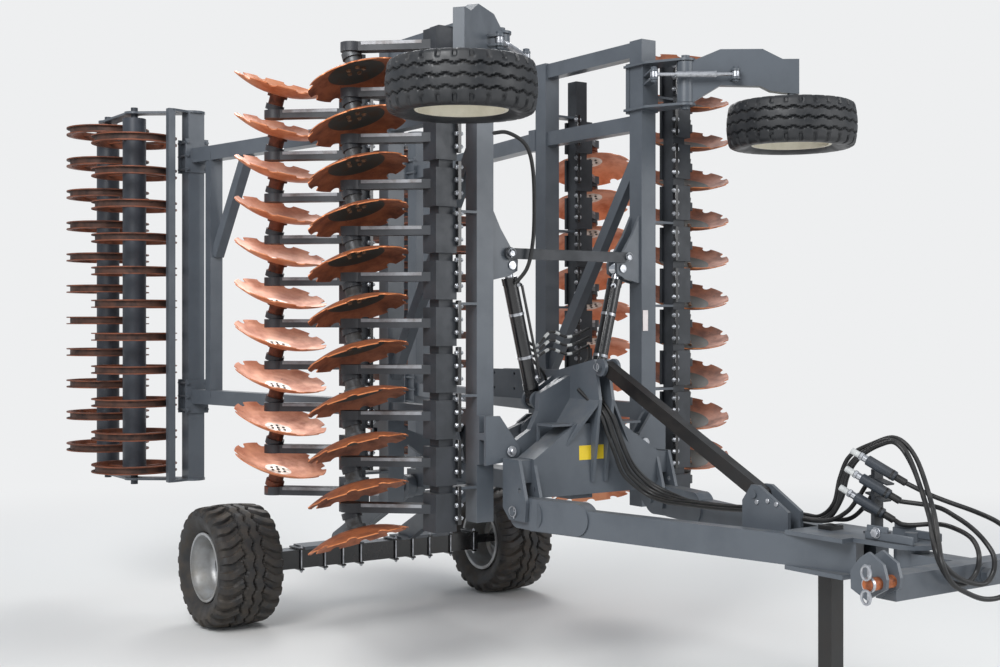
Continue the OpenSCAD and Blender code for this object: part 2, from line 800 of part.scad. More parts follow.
module headstock() color(paint) {
    // Side plates of the hood, from the rail up and back: distance along the machine, height
    both()
        translate([0, hood_in + hood_t / 2, 0])
            plate_xz(hood_t)
                difference() {
                    union() {
                        polygon([
                            [hood_rear, 1545], [hood_rear, 1715], [0, 1722], [340, 1790], [385, hood_bend],
                            [320, rail_top], [-100, rail_top], [-60, 1545],
                        ]);
                        translate(apex) circle(48);
                    }
                    for (x = [hood_rear + 30, hood_rear + 240], z = [1600, 1690]) translate([x, z]) circle(9);
                }
    // Top and bottom of the hood's rear beam, and its front
    for (z = [1547, 1697]) translate([hood_rear, -hood_in - 1, z]) cube([-hood_rear - 80, 2 * hood_in + 2, 14]);
    translate([110, -hood_in - 1, 1300]) cube([200, 2 * hood_in + 2, 16]);
    translate([apex[0], 0, apex[1]]) along_y(apex_pin_r, 2 * (hood_in + hood_t) + 44);
    // Skirts that slope outward from the hood's bend: distance along the machine, distance down the slope
    both()
        translate([0, hood_in + hood_t / 2, hood_bend])
            rotate([flare_angle - 90, 0, 0])
                linear_extrude(16, center = true)
                    polygon([[385, 0], [2, 0], [13, 190], [300, 349]]);
    // Front hinge plates: distance from the centre, height
    both()
        translate([hinge_x[0], 0, 0])
            frame_hinge([
                [440, 1338], [330, 1400], [275, 1500], [265, 1600], [hood_in + 10, 1700],
                [hood_in + 10, rail_top], [rail_w / 2, rail_top], [rail_w / 2, 1058], [425, 1243],
            ]);
    // Base lugs and pins of the fold cylinders
    both() {
        for (s = [-1, 1])
            translate([fold_x + s * fold_lug_x, 0, 0])
                plate_yz(20)
                    union() {
                        translate(fold_base) circle(50);
                        polygon([
                            [hood_in + 1, 1700], fold_base + [-10, 44], fold_base + [44, -8],
                            fold_base + [-8, -44], [hood_in + 1, 1420],
                        ]);
                    }
        translate([fold_x, fold_base[0], fold_base[1]]) along_x(fold_pin_r, 116);
    }
    // Front box across the machine
    translate([(head_back + head_front) / 2, 0, 0])
        plate_yz(head_front - head_back)
            polygon([
                [-head_half, 1045], [head_half, 1045], [head_half, 1253],
                [158, 1435], [-158, 1435], [-head_half, 1253],
            ]);
    both() {
        // Shelf beside the hood
        translate([head_back, 150, 1424]) cube([head_front - head_back - 10, 165, 12]);
        translate([head_back, 301, 1340]) cube([12, 14, 90]);
        // Drawbar lugs, and the web that ties the outer one to the box
        for (y = [head_half - lug_plate / 2, head_half + eye_gap + lug_plate / 2])
            translate([0, y, 0])
                difference() {
                    plate_xz(lug_plate)
                        polygon([
                            [head_back, 1257], [300, 1257], [370, 1030], [360, 930],
                            [215, 930], [head_back, 990],
                        ]);
                    translate([bar_pin[0], 0, bar_pin[1]]) along_y(bar_pin_r + run_gap, 60);
                    translate([310, 0, 1095]) along_y(13, 60);
                }
        translate([head_back, head_half - 1, 1130]) cube([135, eye_gap + 2, 122]);
    }
}

module top_link() color(dark)
    difference() {
        plate_xz(60) strap(apex, link_foot, 70);
        translate([apex[0], 0, apex[1]]) along_y(18 + run_gap, 100);
        translate([link_foot[0], 0, link_foot[1]]) along_y(18 + run_gap, 100);
    }

// Drawbar

nose_x = [1890, 2230];
nose_half = [190, 120];

module drawbar() color(paint) {
    run = bar_front - bar_rear;
    // Side beams, with a fish plate on each side that ends in a round
    both()
        translate([bar_rear[0], bar_rear[1], bar_z])
            rotate(atan2(run[1], run[0])) {
                translate([-15, -bar_t / 2, -bar_h / 2]) cube([norm(run) + 15, bar_t, bar_h]);
                plate_xz(bar_t + 2 * fish_t)
                    union() {
                        translate([6, -bar_eye_h / 2 + 19]) square([fish_len - 6, bar_eye_h]);
                        translate([fish_len, 19]) circle(bar_eye_h / 2 + round_over);
                    }
            }
    // Eyes between the headstock's lugs, and their pins
    both()
        translate([0, bar_rear[1], 0]) {
            difference() {
                plate_xz(bar_t) strap(bar_pin, [bar_rear[0] + 5, bar_pin[1]], bar_eye_h);
                translate([bar_pin[0], 0, bar_pin[1]]) along_y(bar_pin_r - 1, 2);
            }
            translate([bar_pin[0], 0, bar_pin[1]]) along_y(bar_pin_r, eye_gap + 2 * lug_plate + 40);
        }
    // Top and bottom nose plates
    for (z = [bar_z - bar_h / 2 - 10, bar_z + bar_h / 2 + 10])
        translate([0, 0, z])
            linear_extrude(20, center = true)
                difference() {
                    union() {
                        translate([nose_x[0], -nose_half[0]]) square([nose_x[1] - nose_x[0], 2 * nose_half[0]]);
                        translate([nose_x[1], -nose_half[1]]) square([nose_pin_x - nose_x[1], 2 * nose_half[1]]);
                        translate([nose_pin_x, 0]) circle(120);
                    }
                    translate([leg_x, 0]) square(leg_w + 2 * leg_clear, center = true);
                    translate([nose_pin_x, 0]) circle(nose_pin_r + run_gap);
                }
    // Top link bracket
    for (s = [-1, 1])
        translate([0, s * 42, 0])
            plate_xz(20)
                polygon([
                    [1480, bar_z], [1480, 1130], [1540, 1210], [1590, 1210], [1780, 1100], [1780, bar_z],
                ]);
    translate([1630, 0, bar_z]) cube([300, 330, 90], center = true);
    translate([link_foot[0], 0, link_foot[1]]) along_y(18, 120);
}

module stand_leg() color(dark) {
    translate([leg_x, 0, 12]) cube([240, 240, 24], center = true);
    translate([leg_x, 0, leg_top / 2 + 10]) cube([leg_w, leg_w, leg_top - 20], center = true);
}

module hitch_yoke() color(paint) {
    z_clear = bar_h / 2 - 2;
    // Swivel block and pin
    difference() {
        translate([nose_pin_x, 0, bar_z]) cylinder(r = 75, h = 2 * z_clear, center = true);
    }
    translate([nose_pin_x, 0, bar_z]) cylinder(r = nose_pin_r, h = bar_h + 120, center = true);
    translate([nose_pin_x, -60, bar_z - 50]) cube([cross_x - nose_pin_x - cross_w / 2, 120, 100]);
    // Hitch beam between the inner lug plates, with the washer and nut of its pivot
    translate([cross_x, 0, bar_z]) cube([cross_w, link_span - lug_gap - lug_t, cross_w], center = true);
    translate([cross_x + cross_w / 2, 0, bar_z])
        rotate([0, 90, 0]) {
            cylinder(r = 45, h = 10);
            cylinder(r = 32, h = pivot_nut, $fn = 6);
        }
    // Lug plates and lower link pins
    both() {
        for (s = [-1, 1])
            translate([0, link_span / 2 + s * (lug_gap + lug_t) / 2, 0])
                plate_xz(lug_t)
                    translate([cross_x, bar_z])
                        polygon([
                            [-103, 60], [-53, 118], [-13, 143], [59, 102],
                            [76, 47], [72, 8], [-23, -46], [-100, -11],
                        ]);
        translate([cross_x + link_pin[0], link_span / 2 + 25, bar_z + link_pin[1]])
            along_y(link_pin_r, lug_gap + 2 * lug_t + 74);
    }
}

// Hose holder on the drawbar's nose
module hose_holder() color(dark) {
    base_z = bar_z + bar_h / 2 + 20;
    translate([2200, 75, base_z + 4]) cube([90, 80, 8], center = true);
    translate([2200, 75, base_z + 8 + 140]) cube([20, 60, 280], center = true);
    for (i = [0 : 2])
        translate([2190 + i * 16, 75, base_z + 90 + i * 75])
            rotate([0, 15, 0]) cube([110, 50, 8], center = true);
}

// Cylinders

eye_t = 2 * fold_lug_x - 20 - 2 * side_gap;
neck = 72;
fold_rod_r = 25;
lift_neck = 125;
lift_rod_r = 22;
lift_stroke = 130;

module fold_barrel(side) {
    d = fold_eye - fold_base;
    a = atan2(d[0], d[1]);
    color(dark)
        mirror([0, side < 0 ? 1 : 0, 0])
            translate([fold_x, fold_base[0], fold_base[1]])
                rotate([-a, 0, 0])
                    difference() {
                        union() {
                            along_x(40, eye_t);
                            translate([-eye_t / 2, -30, 0]) cube([eye_t, 60, neck]);
                            translate([0, 0, neck - 5]) cylinder(r = 42, h = norm(d) - 62 - neck);
                            translate([0, 0, neck - 5]) cylinder(r = 45, h = 30);
                            translate([0, 0, norm(d) - 107]) cylinder(r = 45, h = 40);
                        }
                        along_x(fold_pin_r + run_gap, 80);
                        translate([0, 0, neck]) cylinder(r = fold_rod_r + slide_gap, h = norm(d));
                    }
}

module fold_rod(side) {
    d = fold_eye - fold_base;
    a = atan2(d[0], d[1]);
    color(silver)
        mirror([0, side < 0 ? 1 : 0, 0])
            translate([fold_x, fold_eye[0], fold_eye[1]])
                rotate([-a, 0, 0])
                    difference() {
                        union() {
                            along_x(40, eye_t);
                            translate([0, 0, -norm(d) + neck + 15]) cylinder(r = fold_rod_r, h = norm(d) - neck - 25);
                        }
                        along_x(fold_pin_r * 0.5, 80);
                    }
}

module lift_barrel() {
    d = lift_eye - lift_base;
    a = atan2(-d[0], -d[1]);
    color(dark)
        translate([lift_base[0], 0, lift_base[1]])
            rotate([0, 180 + a, 0])
                difference() {
                    union() {
                        along_y(36, 56);
                        translate([-30, -28, 0]) cube([60, 56, lift_neck]);
                        translate([0, 0, lift_neck - 5]) cylinder(r = 40, h = norm(d) - 165 - lift_neck);
                    }
                    along_y(lift_pin_r + run_gap, 80);
                    translate([0, 0, lift_neck]) cylinder(r = lift_rod_r + slide_gap, h = norm(d));
                }
}

module lift_rod() {
    d = lift_eye - lift_base;
    a = atan2(-d[0], -d[1]);
    color(silver)
        translate([lift_eye[0], 0, lift_eye[1]])
            rotate([0, 180 + a, 0])
                difference() {
                    union() {
                        along_y(36, 56);
                        translate([0, 0, -norm(d) + lift_neck + lift_stroke])
                            cylinder(r = lift_rod_r, h = norm(d) - lift_neck - lift_stroke - 10);
                    }
                    along_y(lift_pin_r * 0.5, 80);
                }
}

// Transport lock: pinned to the right wing, with a notch open below and outward over the left wing's pin
module lock_bar() color(dark) {
    z = hinge_z + lock_at[0];
    y = hinge_y - lock_at[1];
    h = 60;
    translate([lock_x, 0, 0])
        plate_yz(20)
            difference() {
                union() {
                    translate([-y, z - h / 2]) square([2 * y + 10, h]);
                    translate([-y, z]) circle(h / 2 + 4);
                }
                translate([-y, z]) circle(lock_pin_r + run_gap);
                translate([y - lock_pin_r - 1.5, z - h]) square([2 * h, h + lock_pin_r + 3]);
            }
}

module placed() {
    translate([-mid_x, 0, 0]) children();
}

placed() center_frame();
placed() headstock();
placed() drawbar();
placed() top_link();
placed() hose_holder();
placed() carriage();
placed() axle();
placed() lift_barrel();
placed() lift_rod();
placed() tyre(-1);  // tyre_right
placed() tyre(1);  // tyre_left
placed() rim(-1);  // rim_right
placed() rim(1);  // rim_left
placed() stand_leg();
placed() hitch_yoke();
placed() lock_bar();
placed() fold_barrel(-1);  // fold_barrel_right
placed() fold_barrel(1);  // fold_barrel_left
placed() fold_rod(-1);  // fold_rod_right
placed() fold_rod(1);  // fold_rod_left
placed() wing_frame(-1);  // wing_frame_right
placed() wing_frame(1);  // wing_frame_left
placed() front_gang(-1);  // front_gang_right
placed() front_gang(1);  // front_gang_left
placed() rear_gang(-1);  // rear_gang_right
placed() rear_gang(1);  // rear_gang_left
placed() front_discs(-1);  // front_discs_right
placed() front_discs(1);  // front_discs_left
placed() rear_discs(-1);  // rear_discs_right
placed() rear_discs(1);  // rear_discs_left
placed() roller_frame(-1);  // roller_frame_right
placed() roller_frame(1);  // roller_frame_left
placed() roller_front(-1);  // roller_front_right
placed() roller_front(1);  // roller_front_left
placed() roller_rear(-1);  // roller_rear_right
placed() roller_rear(1);  // roller_rear_left
placed() gauge_arm(-1);  // gauge_arm_right
placed() gauge_arm(1);  // gauge_arm_left
placed() turnbuckle(-1);  // turnbuckle_right
placed() turnbuckle(1);  // turnbuckle_left
placed() gauge_tyre(-1);  // gauge_tyre_right
placed() gauge_tyre(1);  // gauge_tyre_left
placed() gauge_rim(-1);  // gauge_rim_right
placed() gauge_rim(1);  // gauge_rim_left
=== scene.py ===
"""Disc harrow, folded for transport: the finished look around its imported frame."""

import logging
import math
from collections.abc import Callable
from dataclasses import dataclass, field
from enum import Enum
from itertools import product

import bpy
from mathutils import Matrix, Vector


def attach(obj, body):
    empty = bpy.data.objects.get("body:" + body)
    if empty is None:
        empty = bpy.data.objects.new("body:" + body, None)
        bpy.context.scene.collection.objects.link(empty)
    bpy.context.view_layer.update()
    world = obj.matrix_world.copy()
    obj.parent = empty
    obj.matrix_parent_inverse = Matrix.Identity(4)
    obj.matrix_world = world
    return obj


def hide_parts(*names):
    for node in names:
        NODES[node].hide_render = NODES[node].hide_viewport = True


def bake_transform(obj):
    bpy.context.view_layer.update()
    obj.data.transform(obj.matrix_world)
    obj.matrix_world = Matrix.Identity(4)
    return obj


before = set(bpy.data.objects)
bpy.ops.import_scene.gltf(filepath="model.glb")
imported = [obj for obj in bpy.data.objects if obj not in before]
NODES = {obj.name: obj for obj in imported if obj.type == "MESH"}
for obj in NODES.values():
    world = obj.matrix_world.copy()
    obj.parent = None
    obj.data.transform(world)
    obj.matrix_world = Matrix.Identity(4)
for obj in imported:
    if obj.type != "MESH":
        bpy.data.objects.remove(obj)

LOG = logging.getLogger("disc_harrow")
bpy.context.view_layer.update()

Point = tuple[float, float, float]
Face = tuple[int, ...]
Colour = tuple[float, float, float, float]
Wire = tuple[bpy.types.Node, str | int, bpy.types.Node, str | int]

FRONT_TUBE_X = 0.70
HINGE_Y = 0.48
HINGE_Z = 1.29
AHEAD: Point = (1.0, 0.0, 0.0)
OUTWARD: Point = (0.0, 1.0, 0.0)
HITCH_PIN_END: Point = (3.495, 0.684, 0.984)
Z_ALONG_Y = Matrix.Rotation(math.pi / 2, 4, "X")


class Side(Enum):
    """A wing or wheel, by the sign of its place across the machine."""

    RIGHT = -1
    LEFT = 1

    @property
    def tag(self) -> str:
        """The side's name in lower case."""
        return self.name.lower()


def sided(side: Side, place: Point) -> Point:
    """A place or direction given for the left side, on either side."""
    return (place[0], side.value * place[1], place[2])


def srgb(red: int, green: int, blue: int) -> Colour:
    """Turns a colour of 0 to 255 into linear values.

    Args:
        red: Red, 0 to 255.
        green: Green, 0 to 255.
        blue: Blue, 0 to 255.

    Returns:
        The linear colour with an alpha of 1.
    """
    values = []
    for channel in (red, green, blue):
        value = channel / 255
        values.append(value / 12.92 if value <= 0.04045 else ((value + 0.055) / 1.055) ** 2.4)
    return (values[0], values[1], values[2], 1.0)


def add_node(tree: bpy.types.NodeTree, kind: str, values: dict[str, object] | None = None,
             **settings: object) -> bpy.types.Node:
    """Adds a shader node.

    Args:
        tree: The tree that it joins.
        kind: Its type, without the leading ShaderNode.
        values: Input name to value.
        settings: The node's own settings, made before its inputs are set.

    Returns:
        The node.
    """
    node = tree.nodes.new(f"ShaderNode{kind}")
    for key, value in settings.items():
        setattr(node, key, value)
    for key, value in (values or {}).items():
        node.inputs[key].default_value = value
    return node


def wire(tree: bpy.types.NodeTree, *wires: Wire) -> None:
    """Links nodes, each wire given as a node, its output, the next node and its input."""
    for source, output, sink, entry in wires:
        tree.links.new(source.outputs[output], sink.inputs[entry])


# Camera, light and ground


@dataclass
class Studio:
    """The camera at the photograph's viewing angle, soft light and a pale floor."""

    eye: Point = (7.08, -4.92, 1.98)
    look: Point = (-0.8192, 0.5736, 0.0)
    lens: float = 50.4
    shift_y: float = -0.0085
    floor_half: float = 60.0
    fade_start: float = 3.2
    fade_end: float = 10.0
    floor_colour: Colour = field(default_factory=lambda: srgb(226, 226, 224))
    backdrop: Colour = field(default_factory=lambda: srgb(238, 239, 240))
    daylight: Colour = field(default_factory=lambda: srgb(226, 232, 240))
    daylight_strength: float = 0.62

    def camera(self) -> None:
        """Makes the scene's camera."""
        data = bpy.data.cameras.new("camera")
        data.lens = self.lens
        data.sensor_width = 36.0
        data.shift_y = self.shift_y
        data.clip_end = 200.0
        obj = bpy.data.objects.new("camera", data)
        obj.location = self.eye
        obj.rotation_euler = Vector(self.look).to_track_quat("-Z", "Y").to_euler()
        bpy.context.collection.objects.link(obj)
        bpy.context.scene.camera = obj

    def lamp(self, name: str, place: Point, target: Point, size: float, power: float) -> None:
        """Adds a square area lamp.

        Args:
            name: The lamp's name.
            place: Where it stands.
            target: The point that it faces.
            size: Its side in metres.
            power: Its power in watts.
        """
        data = bpy.data.lights.new(name, "AREA")
        data.size = size
        data.energy = power
        obj = bpy.data.objects.new(name, data)
        obj.location = place
        aim = Vector(target) - Vector(place)
        obj.rotation_euler = aim.to_track_quat("-Z", "Y").to_euler()
        bpy.context.collection.objects.link(obj)

    def ground(self) -> None:
        """Lays the floor, which fades into the backdrop far out."""
        material = bpy.data.materials.new("floor")
        material.use_nodes = True
        tree = material.node_tree
        shader = tree.nodes["Principled BSDF"]
        shader.inputs["Base Color"].default_value = self.floor_colour
        shader.inputs["Roughness"].default_value = 0.9
        place = add_node(tree, "NewGeometry")
        reach = add_node(tree, "VectorMath", operation="LENGTH")
        fade = add_node(tree, "MapRange", {"From Min": self.fade_start, "From Max": self.fade_end},
                        interpolation_type="SMOOTHSTEP")
        glow = add_node(tree, "Emission", {"Color": self.backdrop})
        mix = add_node(tree, "MixShader")
        wire(tree, (place, "Position", reach, 0), (reach, "Value", fade, "Value"), (fade, "Result", mix, "Fac"),
             (shader, "BSDF", mix, 1), (glow, "Emission", mix, 2),
             (mix, "Shader", tree.nodes["Material Output"], "Surface"))
        mesh = bpy.data.meshes.new("floor")
        half = self.floor_half
        mesh.from_pydata([(-half, -half, 0), (half, -half, 0), (half, half, 0), (-half, half, 0)], [], [(0, 1, 2, 3)])
        mesh.materials.append(material)
        floor = bpy.data.objects.new("floor", mesh)
        bpy.context.collection.objects.link(floor)

    def sky(self) -> None:
        """Gives the world a plain soft light, and the backdrop's colour where the camera looks."""
        world = bpy.data.worlds.new("studio")
        bpy.context.scene.world = world
        world.use_nodes = True
        tree = world.node_tree
        tree.nodes.clear()
        soft = add_node(tree, "Background", {"Color": self.daylight, "Strength": self.daylight_strength})
        seen = add_node(tree, "Background", {"Color": self.backdrop, "Strength": 1.0})
        path = add_node(tree, "LightPath")
        mix = add_node(tree, "MixShader")
        out = add_node(tree, "OutputWorld")
        wire(tree, (path, "Is Camera Ray", mix, "Fac"), (soft, 0, mix, 1), (seen, 0, mix, 2),
             (mix, 0, out, "Surface"))

    def build(self) -> None:
        """Makes the camera, then the lamps, world and floor."""
        self.camera()
        self.lamp("key", (5.0, -7.5, 8.0), (0.0, 0.0, 1.5), 5.0, 950.0)
        self.lamp("fill", (8.5, 4.5, 4.5), (0.5, 0.0, 1.4), 5.0, 260.0)
        self.lamp("rim", (-6.5, 3.5, 7.0), (-0.5, 0.0, 1.8), 4.5, 380.0)
        self.sky()
        self.ground()
        bpy.context.scene.view_settings.view_transform = "Standard"


# Shader groups


class Shaders:
    """Node groups that more than one finish uses."""

    def __init__(self) -> None:
        """Builds each group once."""
        self.mottle = self._mottle()
        self.dust = self._dust()
        self.chips = self._chips()

    @staticmethod
    def _group(name: str, inputs: dict[str, object], outputs: dict[str, str]
               ) -> tuple[bpy.types.NodeTree, bpy.types.Node, bpy.types.Node]:
        """Starts a node group with named sockets.

        Args:
            name: The group's name.
            inputs: Socket name to default value, a number or a colour.
            outputs: Socket name to socket type.

        Returns:
            The node group, the node of its inputs and the node of its outputs.
        """
        tree = bpy.data.node_groups.new(name, "ShaderNodeTree")
        for key, value in inputs.items():
            kind = "NodeSocketColor" if isinstance(value, tuple) else "NodeSocketFloat"
            socket = tree.interface.new_socket(key, in_out="INPUT", socket_type=kind)
            socket.default_value = value
        for key, kind in outputs.items():
            tree.interface.new_socket(key, in_out="OUTPUT", socket_type=kind)
        return tree, tree.nodes.new("NodeGroupInput"), tree.nodes.new("NodeGroupOutput")

    def _mottle(self) -> bpy.types.NodeTree:
        """Mixes two colours in soft cloudy patches.

        Returns:
            The group, with a colour and a mask.
        """
        tree, source, sink = self._group(
            "mottle",
            {"Base": (0.5, 0.5, 0.5, 1.0), "Patch": (0.3, 0.3, 0.3, 1.0), "Scale": 6.0, "Low": 0.42, "High": 0.62},
            {"Color": "NodeSocketColor", "Mask": "NodeSocketFloat"},
        )
        place = add_node(tree, "TexCoord")
        noise = add_node(tree, "TexNoise", {"Detail": 8.0, "Roughness": 0.62})
        band = add_node(tree, "MapRange")
        mix = add_node(tree, "Mix", data_type="RGBA")
        wire(tree, (place, "Object", noise, "Vector"), (source, "Scale", noise, "Scale"),
             (noise, "Fac", band, "Value"), (source, "Low", band, "From Min"), (source, "High", band, "From Max"),
             (band, "Result", mix, "Factor"), (source, "Base", mix, "A"), (source, "Patch", mix, "B"),
             (mix, "Result", sink, "Color"), (band, "Result", sink, "Mask"))
        return tree

    def _dust(self) -> bpy.types.NodeTree:
        """Lays dust on upward faces and near the ground.

        Returns:
            The group, with a mask.
        """
        tree, source, sink = self._group("dust", {"Amount": 0.5, "Ground": 0.9}, {"Mask": "NodeSocketFloat"})
        geometry = add_node(tree, "NewGeometry")
        normal = add_node(tree, "SeparateXYZ")
        place = add_node(tree, "SeparateXYZ")
        up = add_node(tree, "MapRange", {"From Min": 0.3, "From Max": 1.0})
        low = add_node(tree, "MapRange", {"From Min": 0.0, "To Min": 0.8, "To Max": 0.0})
        noise = add_node(tree, "TexNoise", {"Scale": 14.0, "Detail": 9.0})
        patch = add_node(tree, "MapRange", {"From Min": 0.35, "From Max": 0.75})
        most = add_node(tree, "Math", operation="MAXIMUM")
        times = add_node(tree, "Math", operation="MULTIPLY")
        scale = add_node(tree, "Math", operation="MULTIPLY")
        wire(tree, (geometry, "Normal", normal, 0), (geometry, "Position", place, 0), (normal, "Z", up, "Value"),
             (place, "Z", low, "Value"), (source, "Ground", low, "From Max"), (up, "Result", most, 0),
             (low, "Result", most, 1), (geometry, "Position", noise, "Vector"), (noise, "Fac", patch, "Value"),
             (most, 0, times, 0), (patch, "Result", times, 1), (times, 0, scale, 0), (source, "Amount", scale, 1),
             (scale, 0, sink, "Mask"))
        return tree

    def _chips(self) -> bpy.types.NodeTree:
        """Scatters small sharp chips and scratches.

        Returns:
            The group, with a mask.
        """
        tree, source, sink = self._group("chips", {"Scale": 55.0, "Level": 0.68}, {"Mask": "NodeSocketFloat"})
        place = add_node(tree, "TexCoord")
        noise = add_node(tree, "TexNoise", {"Detail": 12.0, "Roughness": 0.7})
        compare = add_node(tree, "Math", operation="GREATER_THAN")
        wire(tree, (place, "Object", noise, "Vector"), (source, "Scale", noise, "Scale"),
             (noise, "Fac", compare, 0), (source, "Level", compare, 1), (compare, 0, sink, "Mask"))
        return tree


@dataclass(frozen=True)
class Finish:
    """A surface finish, turned into a material by its build method."""

    name: str
    base: Colour
    patch: Colour
    rough: float = 0.45
    rough_patch: float = 0.6
    metallic: float = 0.0
    coat: float = 0.0
    coat_rough: float = 0.2
    mottle_scale: float = 6.0
    low: float = 0.42
    high: float = 0.62
    dust: float = 0.3
    dust_colour: Colour = (0.32, 0.29, 0.25, 1.0)
    chip_level: float = 0.0
    chip_colour: Colour = (0.18, 0.09, 0.05, 1.0)
    chip_scale: float = 55.0
    grain: float = 90.0
    bump: float = 0.05
    bump_depth: float = 0.001

    def build(self, shaders: Shaders) -> bpy.types.Material:
        """Makes the material.

        Args:
            shaders: The shared node groups.

        Returns:
            The material.
        """
        material = bpy.data.materials.new(self.name)
        material.use_nodes = True
        tree = material.node_tree
        shader = tree.nodes["Principled BSDF"]
        shader.inputs["Metallic"].default_value = self.metallic
        shader.inputs["Coat Weight"].default_value = self.coat
        shader.inputs["Coat Roughness"].default_value = self.coat_rough
        mottle = add_node(tree, "Group", {"Base": self.base, "Patch": self.patch, "Scale": self.mottle_scale,
                                          "Low": self.low, "High": self.high}, node_tree=shaders.mottle)
        surface, colour = mottle, "Color"
        if self.chip_level > 0:
            chips = add_node(tree, "Group", {"Scale": self.chip_scale, "Level": self.chip_level},
                             node_tree=shaders.chips)
            worn = add_node(tree, "Mix", {"B": self.chip_colour}, data_type="RGBA")
            wire(tree, (chips, "Mask", worn, "Factor"), (surface, colour, worn, "A"))
            surface, colour = worn, "Result"
        dust = add_node(tree, "Group", {"Amount": self.dust}, node_tree=shaders.dust)
        dusty = add_node(tree, "Mix", {"B": self.dust_colour}, data_type="RGBA")
        rough = add_node(tree, "MapRange", {"To Min": self.rough, "To Max": self.rough_patch})
        place = add_node(tree, "TexCoord")
        grain = add_node(tree, "TexNoise", {"Scale": self.grain, "Detail": 6.0})
        bump = add_node(tree, "Bump", {"Strength": self.bump, "Distance": self.bump_depth})
        wire(tree, (dust, "Mask", dusty, "Factor"), (surface, colour, dusty, "A"),
             (dusty, "Result", shader, "Base Color"), (mottle, "Mask", rough, "Value"),
             (rough, "Result", shader, "Roughness"), (place, "Object", grain, "Vector"),
             (grain, "Fac", bump, "Height"), (bump, "Normal", shader, "Normal"))
        return material


